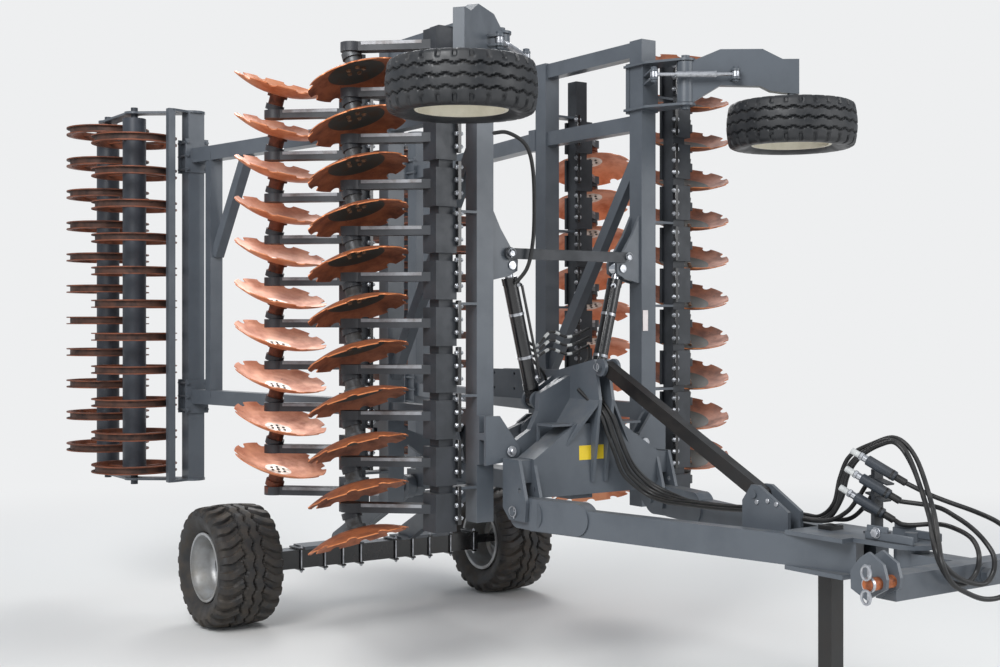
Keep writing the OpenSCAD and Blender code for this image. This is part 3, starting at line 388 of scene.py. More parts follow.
class Finishes:
    """Every material of the machine, by name."""

    def __init__(self, shaders: Shaders) -> None:
        """Builds the materials.

        Args:
            shaders: The shared node groups.
        """
        rust_chip = srgb(110, 66, 42)
        table = [
            Finish("paint", srgb(84, 90, 97), srgb(76, 82, 89), 0.36, 0.46, coat=0.15, dust=0.30,
                   chip_level=0.735, chip_colour=rust_chip, mottle_scale=3.0),
            Finish("dark_paint", srgb(52, 55, 60), srgb(44, 47, 51), 0.42, 0.55, dust=0.28,
                   chip_level=0.72, chip_colour=rust_chip),
            Finish("gloss_black", srgb(23, 24, 26), srgb(32, 31, 32), 0.16, 0.3, coat=0.5, dust=0.07),
            Finish("leg_black", srgb(17, 17, 18), srgb(30, 27, 25), 0.3, 0.5, coat=0.1, dust=0.03,
                   chip_level=0.74, chip_colour=srgb(74, 54, 42)),
            Finish("disc_rust", srgb(164, 94, 56), srgb(112, 64, 44), 0.5, 0.68, metallic=0.25, dust=0.08,
                   mottle_scale=9.0, low=0.4, high=0.66, chip_level=0.66, chip_colour=srgb(86, 52, 38),
                   chip_scale=26.0, bump=0.15, grain=160.0),
            # The rear discs' rust, paler than the front discs' to paint the sky's highlight on them.
            Finish("rear_disc", srgb(222, 146, 104), srgb(186, 104, 62), 0.42, 0.6, metallic=0.3, dust=0.06,
                   mottle_scale=7.0, low=0.42, high=0.68, chip_level=0.69, chip_colour=srgb(120, 66, 42),
                   chip_scale=22.0, bump=0.12, grain=160.0),
            # The rear discs' centres: bare metal, lightened further as a painted highlight.
            Finish("disc_centre", srgb(226, 214, 204), srgb(198, 176, 160), 0.35, 0.5, metallic=0.4, dust=0.05,
                   mottle_scale=20.0),
            Finish("centre_dark", srgb(56, 56, 50), srgb(84, 62, 46), 0.5, 0.65, metallic=0.3, dust=0.08,
                   mottle_scale=14.0, low=0.5, high=0.7),
            Finish("bolt_rust", srgb(158, 122, 96), srgb(116, 84, 64), 0.4, 0.55, metallic=0.5, dust=0.05,
                   mottle_scale=40.0),
            Finish("disc_edge", srgb(206, 128, 78), srgb(166, 94, 56), 0.4, 0.55, metallic=0.3, dust=0.04,
                   mottle_scale=12.0),
            # A painted highlight: a pale strip along each arm's upper edge stands in for the sky's reflection on it.
            Finish("arm_sheen", srgb(150, 152, 156), srgb(112, 108, 108), 0.3, 0.45, metallic=0.3, dust=0.1,
                   mottle_scale=8.0),
            Finish("pin_rust", srgb(176, 100, 56), srgb(110, 62, 40), 0.45, 0.6, metallic=0.3, dust=0.05,
                   mottle_scale=26.0),
            Finish("hub_grey", srgb(86, 88, 90), srgb(66, 64, 62), 0.42, 0.6, metallic=0.4, dust=0.2,
                   mottle_scale=18.0),
            Finish("hub_rust", srgb(120, 62, 36), srgb(78, 44, 30), 0.6, 0.75, metallic=0.2, dust=0.1,
                   mottle_scale=18.0, bump=0.3),
            Finish("ring_rust", srgb(130, 74, 50), srgb(92, 56, 42), 0.5, 0.68, metallic=0.25, dust=0.08,
                   mottle_scale=8.0, bump=0.2),
            Finish("ring_inside", srgb(92, 62, 50), srgb(62, 48, 44), 0.55, 0.72, metallic=0.2, dust=0.06,
                   mottle_scale=9.0, bump=0.2),
            Finish("tube_blue", srgb(58, 63, 71), srgb(48, 52, 59), 0.4, 0.55, dust=0.3,
                   chip_level=0.7, chip_colour=rust_chip),
            Finish("zinc", srgb(196, 198, 202), srgb(158, 160, 165), 0.28, 0.45, metallic=0.9, dust=0.1,
                   mottle_scale=30.0),
            Finish("chrome", srgb(208, 210, 214), srgb(200, 202, 206), 0.08, 0.14, metallic=1.0, dust=0.04),
            Finish("tyre_rubber", srgb(34, 35, 37), srgb(50, 47, 44), 0.55, 0.8, dust=0.34,
                   dust_colour=srgb(120, 104, 84), mottle_scale=10.0, bump=0.35, grain=240.0),
            Finish("gauge_rubber", srgb(28, 30, 33), srgb(42, 43, 45), 0.42, 0.62, dust=0.14,
                   dust_colour=srgb(110, 100, 86), mottle_scale=10.0, bump=0.3, grain=240.0),
            Finish("rim_silver", srgb(164, 166, 168), srgb(140, 140, 138), 0.36, 0.5, metallic=0.4, dust=0.5,
                   dust_colour=srgb(132, 118, 96)),
            Finish("rim_cream", srgb(226, 220, 202), srgb(210, 204, 184), 0.4, 0.55, dust=0.2),
            Finish("hose_rubber", srgb(24, 24, 25), srgb(34, 34, 34), 0.42, 0.55, dust=0.15, mottle_scale=20.0),
            Finish("grip_plastic", srgb(52, 58, 66), srgb(44, 49, 56), 0.4, 0.5, dust=0.2),
            Finish("hose_white", srgb(206, 208, 206), srgb(180, 182, 182), 0.4, 0.5, dust=0.1, mottle_scale=20.0),
            Finish("label_yellow", srgb(226, 196, 40), srgb(216, 184, 36), 0.4, 0.5, dust=0.08),
            Finish("label_pale", srgb(222, 214, 212), srgb(208, 196, 196), 0.4, 0.5, dust=0.08),
        ]
        self._made = {finish.name: finish.build(shaders) for finish in table}

    def __getitem__(self, name: str) -> bpy.types.Material:
        """The material of that name."""
        return self._made[name]


# Meshes


class MeshBuilder:
    """Collects solid forms into one mesh, each with its own material."""

    def __init__(self, name: str, finishes: Finishes) -> None:
        """Starts an empty mesh.

        Args:
            name: The piece's name.
            finishes: Where its materials come from.
        """
        self.name = name
        self.finishes = finishes
        self.points: list[Point] = []
        self.faces: list[Face] = []
        self.slots: list[int] = []
        self.smooth: list[bool] = []
        self.materials: list[str] = []

    def add(self, points: list[Point], faces: list[Face], finish: str,
            place: Matrix | None = None, smooth: bool = False) -> None:
        """Adds a form.

        Args:
            points: Its corners.
            faces: Its faces, as corner numbers.
            finish: The name of its material.
            place: Where it goes, or None to leave it.
            smooth: Whether its faces shade smoothly.
        """
        if finish not in self.materials:
            self.materials.append(finish)
        slot = self.materials.index(finish)
        start = len(self.points)
        flip = place is not None and place.determinant() < 0
        for point in points:
            moved = place @ Vector(point) if place is not None else Vector(point)
            self.points.append((moved.x, moved.y, moved.z))
        for face in faces:
            order = reversed(face) if flip else face
            self.faces.append(tuple(start + i for i in order))
            self.slots.append(slot)
            self.smooth.append(smooth)

    def lathe(self, profile: list[tuple[float, float]], segments: int, finish: str,
              place: Matrix | None = None, closed: bool = True, smooth: bool = True) -> None:
        """Turns a profile of (radius, height) about Z.

        Args:
            profile: The outline, in order.
            segments: Steps round the axis.
            finish: The name of its material.
            place: Where it goes.
            closed: Whether the outline closes on itself.
            smooth: Whether it shades smoothly.
        """
        points: list[Point] = []
        faces: list[Face] = []
        count = len(profile)
        for i in range(segments):
            angle = 2 * math.pi * i / segments
            for radius, height in profile:
                points.append((radius * math.cos(angle), radius * math.sin(angle), height))
        last = count if closed else count - 1
        for i in range(segments):
            j = (i + 1) % segments
            for k in range(last):
                m = (k + 1) % count
                faces.append((i * count + k, j * count + k, j * count + m, i * count + m))
        if not closed:
            for end, flip in ((0, True), (count - 1, False)):
                if profile[end][0] > 1e-6:
                    ring = [i * count + end for i in range(segments)]
                    faces.append(tuple(reversed(ring)) if flip else tuple(ring))
        self.add(points, faces, finish, place, smooth)

    def prism(self, outline: list[tuple[float, float]], low: float, high: float, finish: str,
              place: Matrix | None = None, chamfer: float = 0.0) -> None:
        """Raises a convex or simple outline along Z, with a chamfer at both ends.

        Args:
            outline: The outline, anticlockwise.
            low: Its lower end.
            high: Its upper end.
            finish: The name of its material.
            place: Where it goes.
            chamfer: The chamfer's size, for outlines round the axis.
        """
        count = len(outline)
        levels = [(low, 1.0), (high, 1.0)]
        if chamfer > 0:
            reach = max(math.hypot(x, y) for x, y in outline)
            inner = (reach - chamfer) / reach
            levels = [(low, inner), (low + chamfer, 1.0), (high - chamfer, 1.0), (high, inner)]
        points = [(x * s, y * s, z) for z, s in levels for x, y in outline]
        faces: list[Face] = []
        for k in range(len(levels) - 1):
            for i in range(count):
                j = (i + 1) % count
                faces.append((k * count + i, k * count + j, (k + 1) * count + j, (k + 1) * count + i))
        faces.append(tuple(reversed(range(count))))
        faces.append(tuple(range((len(levels) - 1) * count, len(levels) * count)))
        self.add(points, faces, finish, place)

    def cylinder(self, radius: float, low: float, high: float, finish: str,
                 place: Matrix | None = None, segments: int = 24, chamfer: float = 0.001) -> None:
        """Adds a round bar along Z with chamfered ends.

        Args:
            radius: Its radius.
            low: Its lower end.
            high: Its upper end.
            finish: The name of its material.
            place: Where it goes.
            segments: Steps round it.
            chamfer: The chamfer's size.
        """
        profile = [(0.0, low), (radius - chamfer, low), (radius, low + chamfer),
                   (radius, high - chamfer), (radius - chamfer, high), (0.0, high)]
        self.lathe(profile, segments, finish, place, closed=False, smooth=False)

    def block(self, low: Point, high: Point, finish: str, place: Matrix | None = None,
              chamfer: float = 0.002) -> None:
        """Adds a box with chamfered edges.

        Args:
            low: Its lowest corner.
            high: Its highest corner.
            finish: The name of its material.
            place: Where it goes.
            chamfer: The chamfer's size.
        """
        ends = (low, high)
        points: list[Point] = []
        index: dict[tuple[int, ...], int] = {}
        for corner in product((0, 1), repeat=3):
            for axis in range(3):
                index[(*corner, axis)] = len(points)
                points.append(tuple(ends[s][a] + (0.0 if a == axis else (1 - 2 * s) * chamfer)
                                    for a, s in enumerate(corner)))
        centre = (Vector(low) + Vector(high)) / 2

        def number(axis: int, s: int, su: int, sv: int, side: int) -> int:
            """The number of a corner's point on one of its three sides."""
            u, v = (a for a in range(3) if a != axis)
            key = [0, 0, 0]
            key[axis], key[u], key[v] = s, su, sv
            return index[(*key, side)]

        def outward(ring: list[int]) -> Face:
            """Orders a face so that it looks away from the centre."""
            a, b, d = (Vector(points[ring[i]]) for i in (0, 1, 2))
            middle = sum((Vector(points[i]) for i in ring), Vector()) / len(ring)
            return tuple(ring) if (b - a).cross(d - b).dot(middle - centre) > 0 else tuple(reversed(ring))

        rings: list[list[int]] = []
        for axis in range(3):
            u, v = (a for a in range(3) if a != axis)
            for s in (0, 1):
                rings.append([number(axis, s, su, sv, axis) for su, sv in ((0, 0), (1, 0), (1, 1), (0, 1))])
            for su, sv in product((0, 1), repeat=2):
                rings.append([number(axis, s, su, sv, side) for s, side in ((0, u), (1, u), (1, v), (0, v))])
        rings += [[index[(*corner, a)] for a in range(3)] for corner in product((0, 1), repeat=3)]
        self.add(points, [outward(ring) for ring in rings], finish, place)

    def band(self, inner: float, outer: float, half: float, finish: str, place: Matrix,
             segments: int, smooth: bool = True) -> None:
        """Adds a flat ring round Z, by its radii and half of its width."""
        profile = [(inner, -half), (outer, -half), (outer, half), (inner, half)]
        self.lathe(profile, segments, finish, place, smooth=smooth)

    def hexagon(self, radius: float, low: float, high: float, finish: str,
                place: Matrix | None = None) -> None:
        """Adds a hexagonal head or nut along Z, by its radius over the corners."""
        outline = [(radius * math.cos(math.pi * i / 3), radius * math.sin(math.pi * i / 3)) for i in range(6)]
        self.prism(outline, low, high, finish, place, chamfer=radius * 0.12)

    def bolt(self, size: float, place: Matrix, finish: str = "zinc", stud: float = 0.0) -> None:
        """Adds a washer and a hexagonal head that stand on Z = 0, and a stud's end.

        Args:
            size: The thread's diameter.
            place: Where it goes.
            finish: The name of its material.
            stud: How far a threaded end stands out of the nut.
        """
        self.cylinder(size * 1.1, 0.0, size * 0.18, finish, place, 16, size * 0.04)
        self.hexagon(size * 0.92, size * 0.18, size * 0.85, finish, place)
        if stud > 0:
            self.cylinder(size * 0.5, size * 0.8, size * 0.85 + stud, finish, place, 12, size * 0.08)

    def tube(self, path: list[Point], radius: float, finish: str, segments: int = 10,
             closed: bool = False) -> None:
        """Sweeps a round section along a path.

        Args:
            path: The points that it follows.
            radius: Its radius.
            finish: The name of its material.
            segments: Steps round it.
            closed: Whether the path is a ring.
        """
        places = [Vector(p) for p in path]
        count = len(places)
        points: list[Point] = []
        normal = None
        for i, place in enumerate(places):
            if closed:
                ahead, behind = places[(i + 1) % count], places[i - 1]
            else:
                ahead, behind = places[min(i + 1, count - 1)], places[max(i - 1, 0)]
            along = (ahead - behind).normalized()
            if normal is None:
                guide = Vector((0, 0, 1)) if abs(along.z) < 0.9 else Vector((1, 0, 0))
                normal = along.cross(guide).normalized()
            normal = (normal - along * normal.dot(along)).normalized()
            other = along.cross(normal)
            for k in range(segments):
                angle = 2 * math.pi * k / segments
                point = place + radius * (math.cos(angle) * normal + math.sin(angle) * other)
                points.append((point.x, point.y, point.z))
        faces: list[Face] = []
        last = count if closed else count - 1
        for i in range(last):
            j = (i + 1) % count
            for k in range(segments):
                m = (k + 1) % segments
                faces.append((i * segments + k, i * segments + m, j * segments + m, j * segments + k))
        if not closed:
            faces.append(tuple(reversed(range(segments))))
            faces.append(tuple(range((count - 1) * segments, count * segments)))
        self.add(points, faces, finish, smooth=True)

    def _object(self) -> bpy.types.Object:
        """Makes the object, on no body yet."""
        mesh = bpy.data.meshes.new(self.name)
        mesh.from_pydata(self.points, [], self.faces)
        for name in self.materials:
            mesh.materials.append(self.finishes[name])
        mesh.polygons.foreach_set("material_index", self.slots)
        mesh.polygons.foreach_set("use_smooth", self.smooth)
        mesh.update()
        mesh.set_sharp_from_angle(angle=math.radians(38))
        obj = bpy.data.objects.new(self.name, mesh)
        bpy.context.collection.objects.link(obj)
        return obj

    def build(self, body: str, *nodes: str) -> bpy.types.Object:
        """Makes the object and joins it to its body.

        Args:
            body: The CAD body that it rides on.
            nodes: The CAD nodes that it stands for.

        Returns:
            The object.
        """
        obj = self._object()
        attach(obj, body)
        if nodes:
            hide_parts(*nodes)
        LOG.info("%s: %d faces on %s", self.name, len(self.faces), body)
        return obj

    def build_bent(self, body: str, other: str) -> bpy.types.Object:
        """Makes the object with its place baked into the mesh, on no body.

        Args:
            body: The CAD body at its start, only named in the log.
            other: The CAD body at its end, only named in the log.

        Returns:
            The object.
        """
        obj = self._object()
        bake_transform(obj)
        LOG.info("%s: %d faces from %s to %s", self.name, len(self.faces), body, other)
        return obj


# Places


def curve(points: list[Point | Vector], steps: int = 10) -> list[Point]:
    """Draws a smooth curve through points.

    Args:
        points: What it passes.
        steps: Steps between two of them.

    Returns:
        The curve's points.
    """
    knots = [Vector(p) for p in points]
    knots = [knots[0] * 2 - knots[1], *knots, knots[-1] * 2 - knots[-2]]
    path: list[Point] = []
    for i in range(1, len(knots) - 2):
        a, b, c, d = knots[i - 1:i + 3]
        for k in range(steps):
            t = k / steps
            p = 0.5 * (2 * b + (c - a) * t + (2 * a - 5 * b + 4 * c - d) * t * t + (3 * b - a - 3 * c + d) * t ** 3)
            path.append((p.x, p.y, p.z))
    path.append(tuple(knots[-2]))
    return path


def oval(place: Matrix, centre: Point, wide: float, high: float, steps: int) -> list[Point]:
    """An oval loop of points square to a place's Z, by its reaches along X and Y."""
    turns = (2 * math.pi * i / steps for i in range(steps))
    return [tuple(place @ Vector((centre[0] + wide * math.cos(a), centre[1] + high * math.sin(a), centre[2])))
            for a in turns]


def facing(place: Point | Vector, way: Point | Vector) -> Matrix:
    """A place at a point, whose Z looks a given way."""
    return Matrix.Translation(place) @ Vector(way).to_track_quat("Z", "Y").to_matrix().to_4x4()


def wing_place(side: Side) -> Matrix:
    """Maps (ahead of the front tube, outboard of the hinge, above it) to the folded wing."""
    s = side.value
    return Matrix((
        (1, 0, 0, FRONT_TUBE_X),
        (0, 0, -s, s * HINGE_Y),
        (0, 1, 0, HINGE_Z),
        (0, 0, 0, 1),
    ))


@dataclass(frozen=True)
class Row:
    """A row of discs on a wing: its name, its place behind the front tube, its count and its throw."""

    name: str
    offset: float
    count: int
    throw: int
    pitch: float = 0.25
    first: float = -0.3
    disc_place: Point = (-0.285, 0.185, -0.71)
    cut_angle: float = 17.0
    lean_angle: float = 7.0

    def turned(self, side: Side) -> bool:
        """Whether the modules are mirrored on that wing."""
        return self.throw * side.value < 0

    def module(self, side: Side, index: int) -> Matrix:
        """The place of one module's clamp, for (ahead of the beam, along the beam, above it)."""
        place = wing_place(side) @ Matrix.Translation((self.offset, self.first + index * self.pitch, 0))
        return place @ Matrix.Diagonal((1, -1, 1, 1)) if self.turned(side) else place

    def disc(self, side: Side, index: int) -> Matrix:
        """The place of one disc, with Z out of its hollow face."""
        cut = Matrix.Rotation(math.radians(-self.cut_angle), 4, "Z")
        lean = Matrix.Rotation(math.radians(self.lean_angle - 90), 4, "X")
        return self.module(side, index) @ Matrix.Translation(self.disc_place) @ cut @ lean


@dataclass(frozen=True)
class Roller:
    """A ring roller: its name, its place behind the front tube and its first ring's place along it."""

    name: str
    back: float
    first: float
    up: float = 0.81
    pitch: float = 0.235
    radius: float = 0.3
    channel_half: float = 0.0215
    channel_wall: float = 0.03
    tube_reach: float = 0.09


ROWS = (Row("front", 0.0, 11, 1), Row("rear", -0.95, 10, -1))
ROLLERS = (Roller("front", 3.40, -0.33375), Roller("rear", 3.95, -0.21625))


# Wheels


def triangle_wave(value: float) -> float:
    """A wave of period 1 between -1 and 1 with straight flanks."""
    return 4 * abs(value - math.floor(value + 0.5)) - 1


def smooth_step(low: float, high: float, value: float) -> float:
    """Rises smoothly from 0 at low to 1 at high."""
    t = min(max((value - low) / (high - low), 0.0), 1.0)
    return t * t * (3 - 2 * t)


def groove(distance: float, inner: float, outer: float) -> float:
    """How deep a groove is at a distance from its middle, 1 within inner and 0 past outer."""
    return 1 - smooth_step(inner, outer, abs(distance))


class Tread(Enum):
    """The two tread patterns, each with its count of lugs round the tyre."""

    FLOTATION = 24
    IMPLEMENT = 28


@dataclass
class Tyre:
    """A tyre with its tread cut into a fine grid; its shares are of half the width."""

    radius: float
    bead: float
    width: float
    tread: Tread
    around: int = 480
    across: int = 64
    depth: float = 0.022
    finish: str = "tyre_rubber"
    crown: float = 0.012
    tread_steps: float = 0.62
    tread_share: float = 0.80
    shoulder_steps: float = 0.35
    shoulder_drop: float = 0.055
    bead_gap: float = 0.004
    bead_tuck: float = 0.28
    line_share: float = 0.43

    def shell(self, across: float) -> tuple[float, float, float]:
        """The carcass at a place from bead to bead.

        Args:
            across: 0 at one bead, 1 at the other.

        Returns:
            The radius, the place along the axle and the share of tread there.
        """
        half = self.width / 2
        u = 2 * across - 1
        side = 1.0 if u >= 0 else -1.0
        a = abs(u)
        if a <= self.tread_steps:
            s = a / self.tread_steps
            return self.radius - self.crown * s ** 2, side * s * half * self.tread_share, 1.0
        turn = (a - self.tread_steps) / (1 - self.tread_steps)
        edge = self.radius - self.crown
        if turn < self.shoulder_steps:
            s = turn / self.shoulder_steps
            w = half * (self.tread_share + (1 - self.tread_share) * math.sin(s * math.pi / 2))
            return edge - self.shoulder_drop * s * s, side * w, 1.0 - smooth_step(0.75, 1.0, s)
        s = (turn - self.shoulder_steps) / (1 - self.shoulder_steps)
        wall = edge - self.shoulder_drop
        r = wall + (self.bead + self.bead_gap - wall) * s
        return r, side * half * (1.0 - self.bead_tuck * s ** 2.2), 0.0

    def flotation(self, around: float, across: float) -> float:
        """The cut of broad leaning lugs beside ribbed middle grooves.

        Args:
            around: The place round the tyre, in lugs.
            across: The place along the axle, as a share.

        Returns:
            The share of the full depth.
        """
        a = abs(across)
        phase = around + (0.5 if across >= 0 else 0.0)
        ripple = 0.045 * triangle_wave(phase + 0.3)
        lug = triangle_wave(phase + 0.55 * smooth_step(0.2, 0.75, a))
        between = smooth_step(0.02, 0.30, lug + 0.22 - 0.30 * (1 - a))
        gutter = 0.34 + ripple
        return max(
            between * smooth_step(gutter - 0.02, gutter + 0.02, a),
            0.90 * groove(a - 0.30 - ripple, 0.018, 0.04),
            0.85 * groove(across - 0.05 * triangle_wave(around), 0.014, 0.034),
        )

    def implement(self, around: float, across: float) -> float:
        """The cut of three zigzag grooves and notched shoulders.

        Args:
            around: The place round the tyre, in lugs.
            across: The place along the axle, as a share.

        Returns:
            The share of the full depth.
        """
        a = abs(across)
        zigzag = 0.055 * triangle_wave(around)
        lines = (-self.line_share, 0.0, self.line_share)
        cut = max(groove(across - line - zigzag, 0.02, 0.055) for line in lines)
        if a > 0.56:
            notch = smooth_step(0.35, 0.6, triangle_wave(around + 0.5))
            cut = max(cut, notch * smooth_step(0.62, 0.68, a))
        return cut

    def add_to(self, mesh: MeshBuilder, place: Matrix) -> None:
        """Adds the tyre to a mesh.

        Args:
            mesh: The mesh being built.
            place: The wheel's place, with Z along its axle.
        """
        pattern = self.flotation if self.tread is Tread.FLOTATION else self.implement
        points: list[Point] = []
        for i in range(self.around):
            turn = i / self.around
            angle = 2 * math.pi * turn
            for k in range(self.across + 1):
                r, w, share = self.shell(k / self.across)
                r -= self.depth * share * pattern(turn * self.tread.value, w / (self.width / 2))
                points.append((r * math.cos(angle), r * math.sin(angle), w))
        faces: list[Face] = []
        ring = self.across + 1
        for i in range(self.around):
            j = (i + 1) % self.around
            for k in range(self.across):
                faces.append((i * ring + k, j * ring + k, j * ring + k + 1, i * ring + k + 1))
            faces.append((i * ring + self.across, j * ring + self.across, j * ring, i * ring))
        mesh.add(points, faces, self.finish, place, smooth=True)


@dataclass
class Wheel:
    """A rim with its tyre, and the names of its pieces, nodes and body."""

    tyre: Tyre
    rim_finish: str
    dish: float
    hub: float
    nuts: int
    nut_circle: float
    body: str
    tyre_piece: str
    rim_piece: str
    node: str
    nut: float = 0.018
    stud: float = 0.012

    def rim(self, mesh: MeshBuilder, place: Matrix) -> None:
        """Adds the rim, its hub and its nuts.

        Args:
            mesh: The mesh being built.
            place: The wheel's place, with Z out of its outer face.
        """
        r, dish, hub = self.tyre.bead, self.dish, self.hub
        half = self.tyre.width * 0.42
        barrel = [
            (r - 0.012, -half), (r + 0.010, -half), (r + 0.012, -half + 0.008), (r - 0.003, -half + 0.012),
            (r - 0.003, half - 0.012), (r + 0.012, half - 0.008), (r + 0.010, half), (r - 0.006, half),
            (r - 0.010, half - 0.03), (r - 0.024, half - 0.05), (r - 0.026, half - 0.12), (r - 0.036, dish + 0.02),
            (r - 0.05, dish + 0.004), (r * 0.62, dish - 0.012), (r * 0.50, dish + 0.012), (hub, dish + 0.016),
            (hub, dish - 0.012), (r * 0.60, dish - 0.03), (r - 0.05, dish - 0.012), (r - 0.030, dish - 0.03),
            (r - 0.020, -half + 0.02),
        ]
        mesh.lathe(barrel, 96, self.rim_finish, place)
        cap = [(0.0, dish - 0.07), (hub - 0.002, dish - 0.07), (hub - 0.002, dish + 0.05),
               (hub - 0.010, dish + 0.058), (0.0, dish + 0.058)]
        mesh.lathe(cap, 48, "gloss_black", place, closed=False)
        for i in range(self.nuts):
            angle = 2 * math.pi * i / self.nuts
            spot = (self.nut_circle * math.cos(angle), self.nut_circle * math.sin(angle), dish + 0.014)
            mesh.bolt(self.nut, place @ Matrix.Translation(spot), stud=self.stud)

    def build(self, finishes: Finishes, side: Side, place: Matrix, outer: float) -> None:
        """Makes the tyre and the rim.

        Args:
            finishes: Where their materials come from.
            side: Which side they are on.
            place: The wheel's place, with Z along its axle.
            outer: 1 where the outer face looks along Z, else -1.
        """
        tyre = MeshBuilder(f"{self.tyre_piece}_{side.tag}", finishes)
        self.tyre.add_to(tyre, place)
        tyre.build(f"{self.body}_{side.tag}", f"{self.node}tyre_{side.tag}")
        rim = MeshBuilder(f"{self.rim_piece}_{side.tag}", finishes)
        self.rim(rim, place @ Matrix.Diagonal((1, 1, outer, 1)))
        rim.build(f"{self.body}_{side.tag}", f"{self.node}rim_{side.tag}")


@dataclass
class Wheels:
    """The transport wheels and the gauge wheels."""

    finishes: Finishes
    axle: Point = (FRONT_TUBE_X - 2.2, 1.085, 0.4)
    gauge: Point = (FRONT_TUBE_X + 0.67, 1.152, 3.14)

    def build(self) -> None:
        """Makes all four wheels."""
        transport = Wheel(
            Tyre(radius=0.40, bead=0.215, width=0.44, tread=Tread.FLOTATION),
            "rim_silver", dish=0.02, hub=0.07, nuts=6, nut_circle=0.102,
            body="wheel", tyre_piece="transport_tyre", rim_piece="transport_rim", node="")
        gauge = Wheel(
            Tyre(radius=0.375, bead=0.22, width=0.264, tread=Tread.IMPLEMENT, across=48, depth=0.014,
                 finish="gauge_rubber"),
            "rim_cream", dish=-0.04, hub=0.05, nuts=5, nut_circle=0.085,
            body="gauge_wheel", tyre_piece="gauge_tread", rim_piece="gauge_disc", node="gauge_")
        for side in Side:
            transport.build(self.finishes, side, Matrix.Translation(sided(side, self.axle)) @ Z_ALONG_Y, -side.value)
            gauge.build(self.finishes, side, Matrix.Translation(sided(side, self.gauge)), -1.0)


# CAD nodes that keep their shape


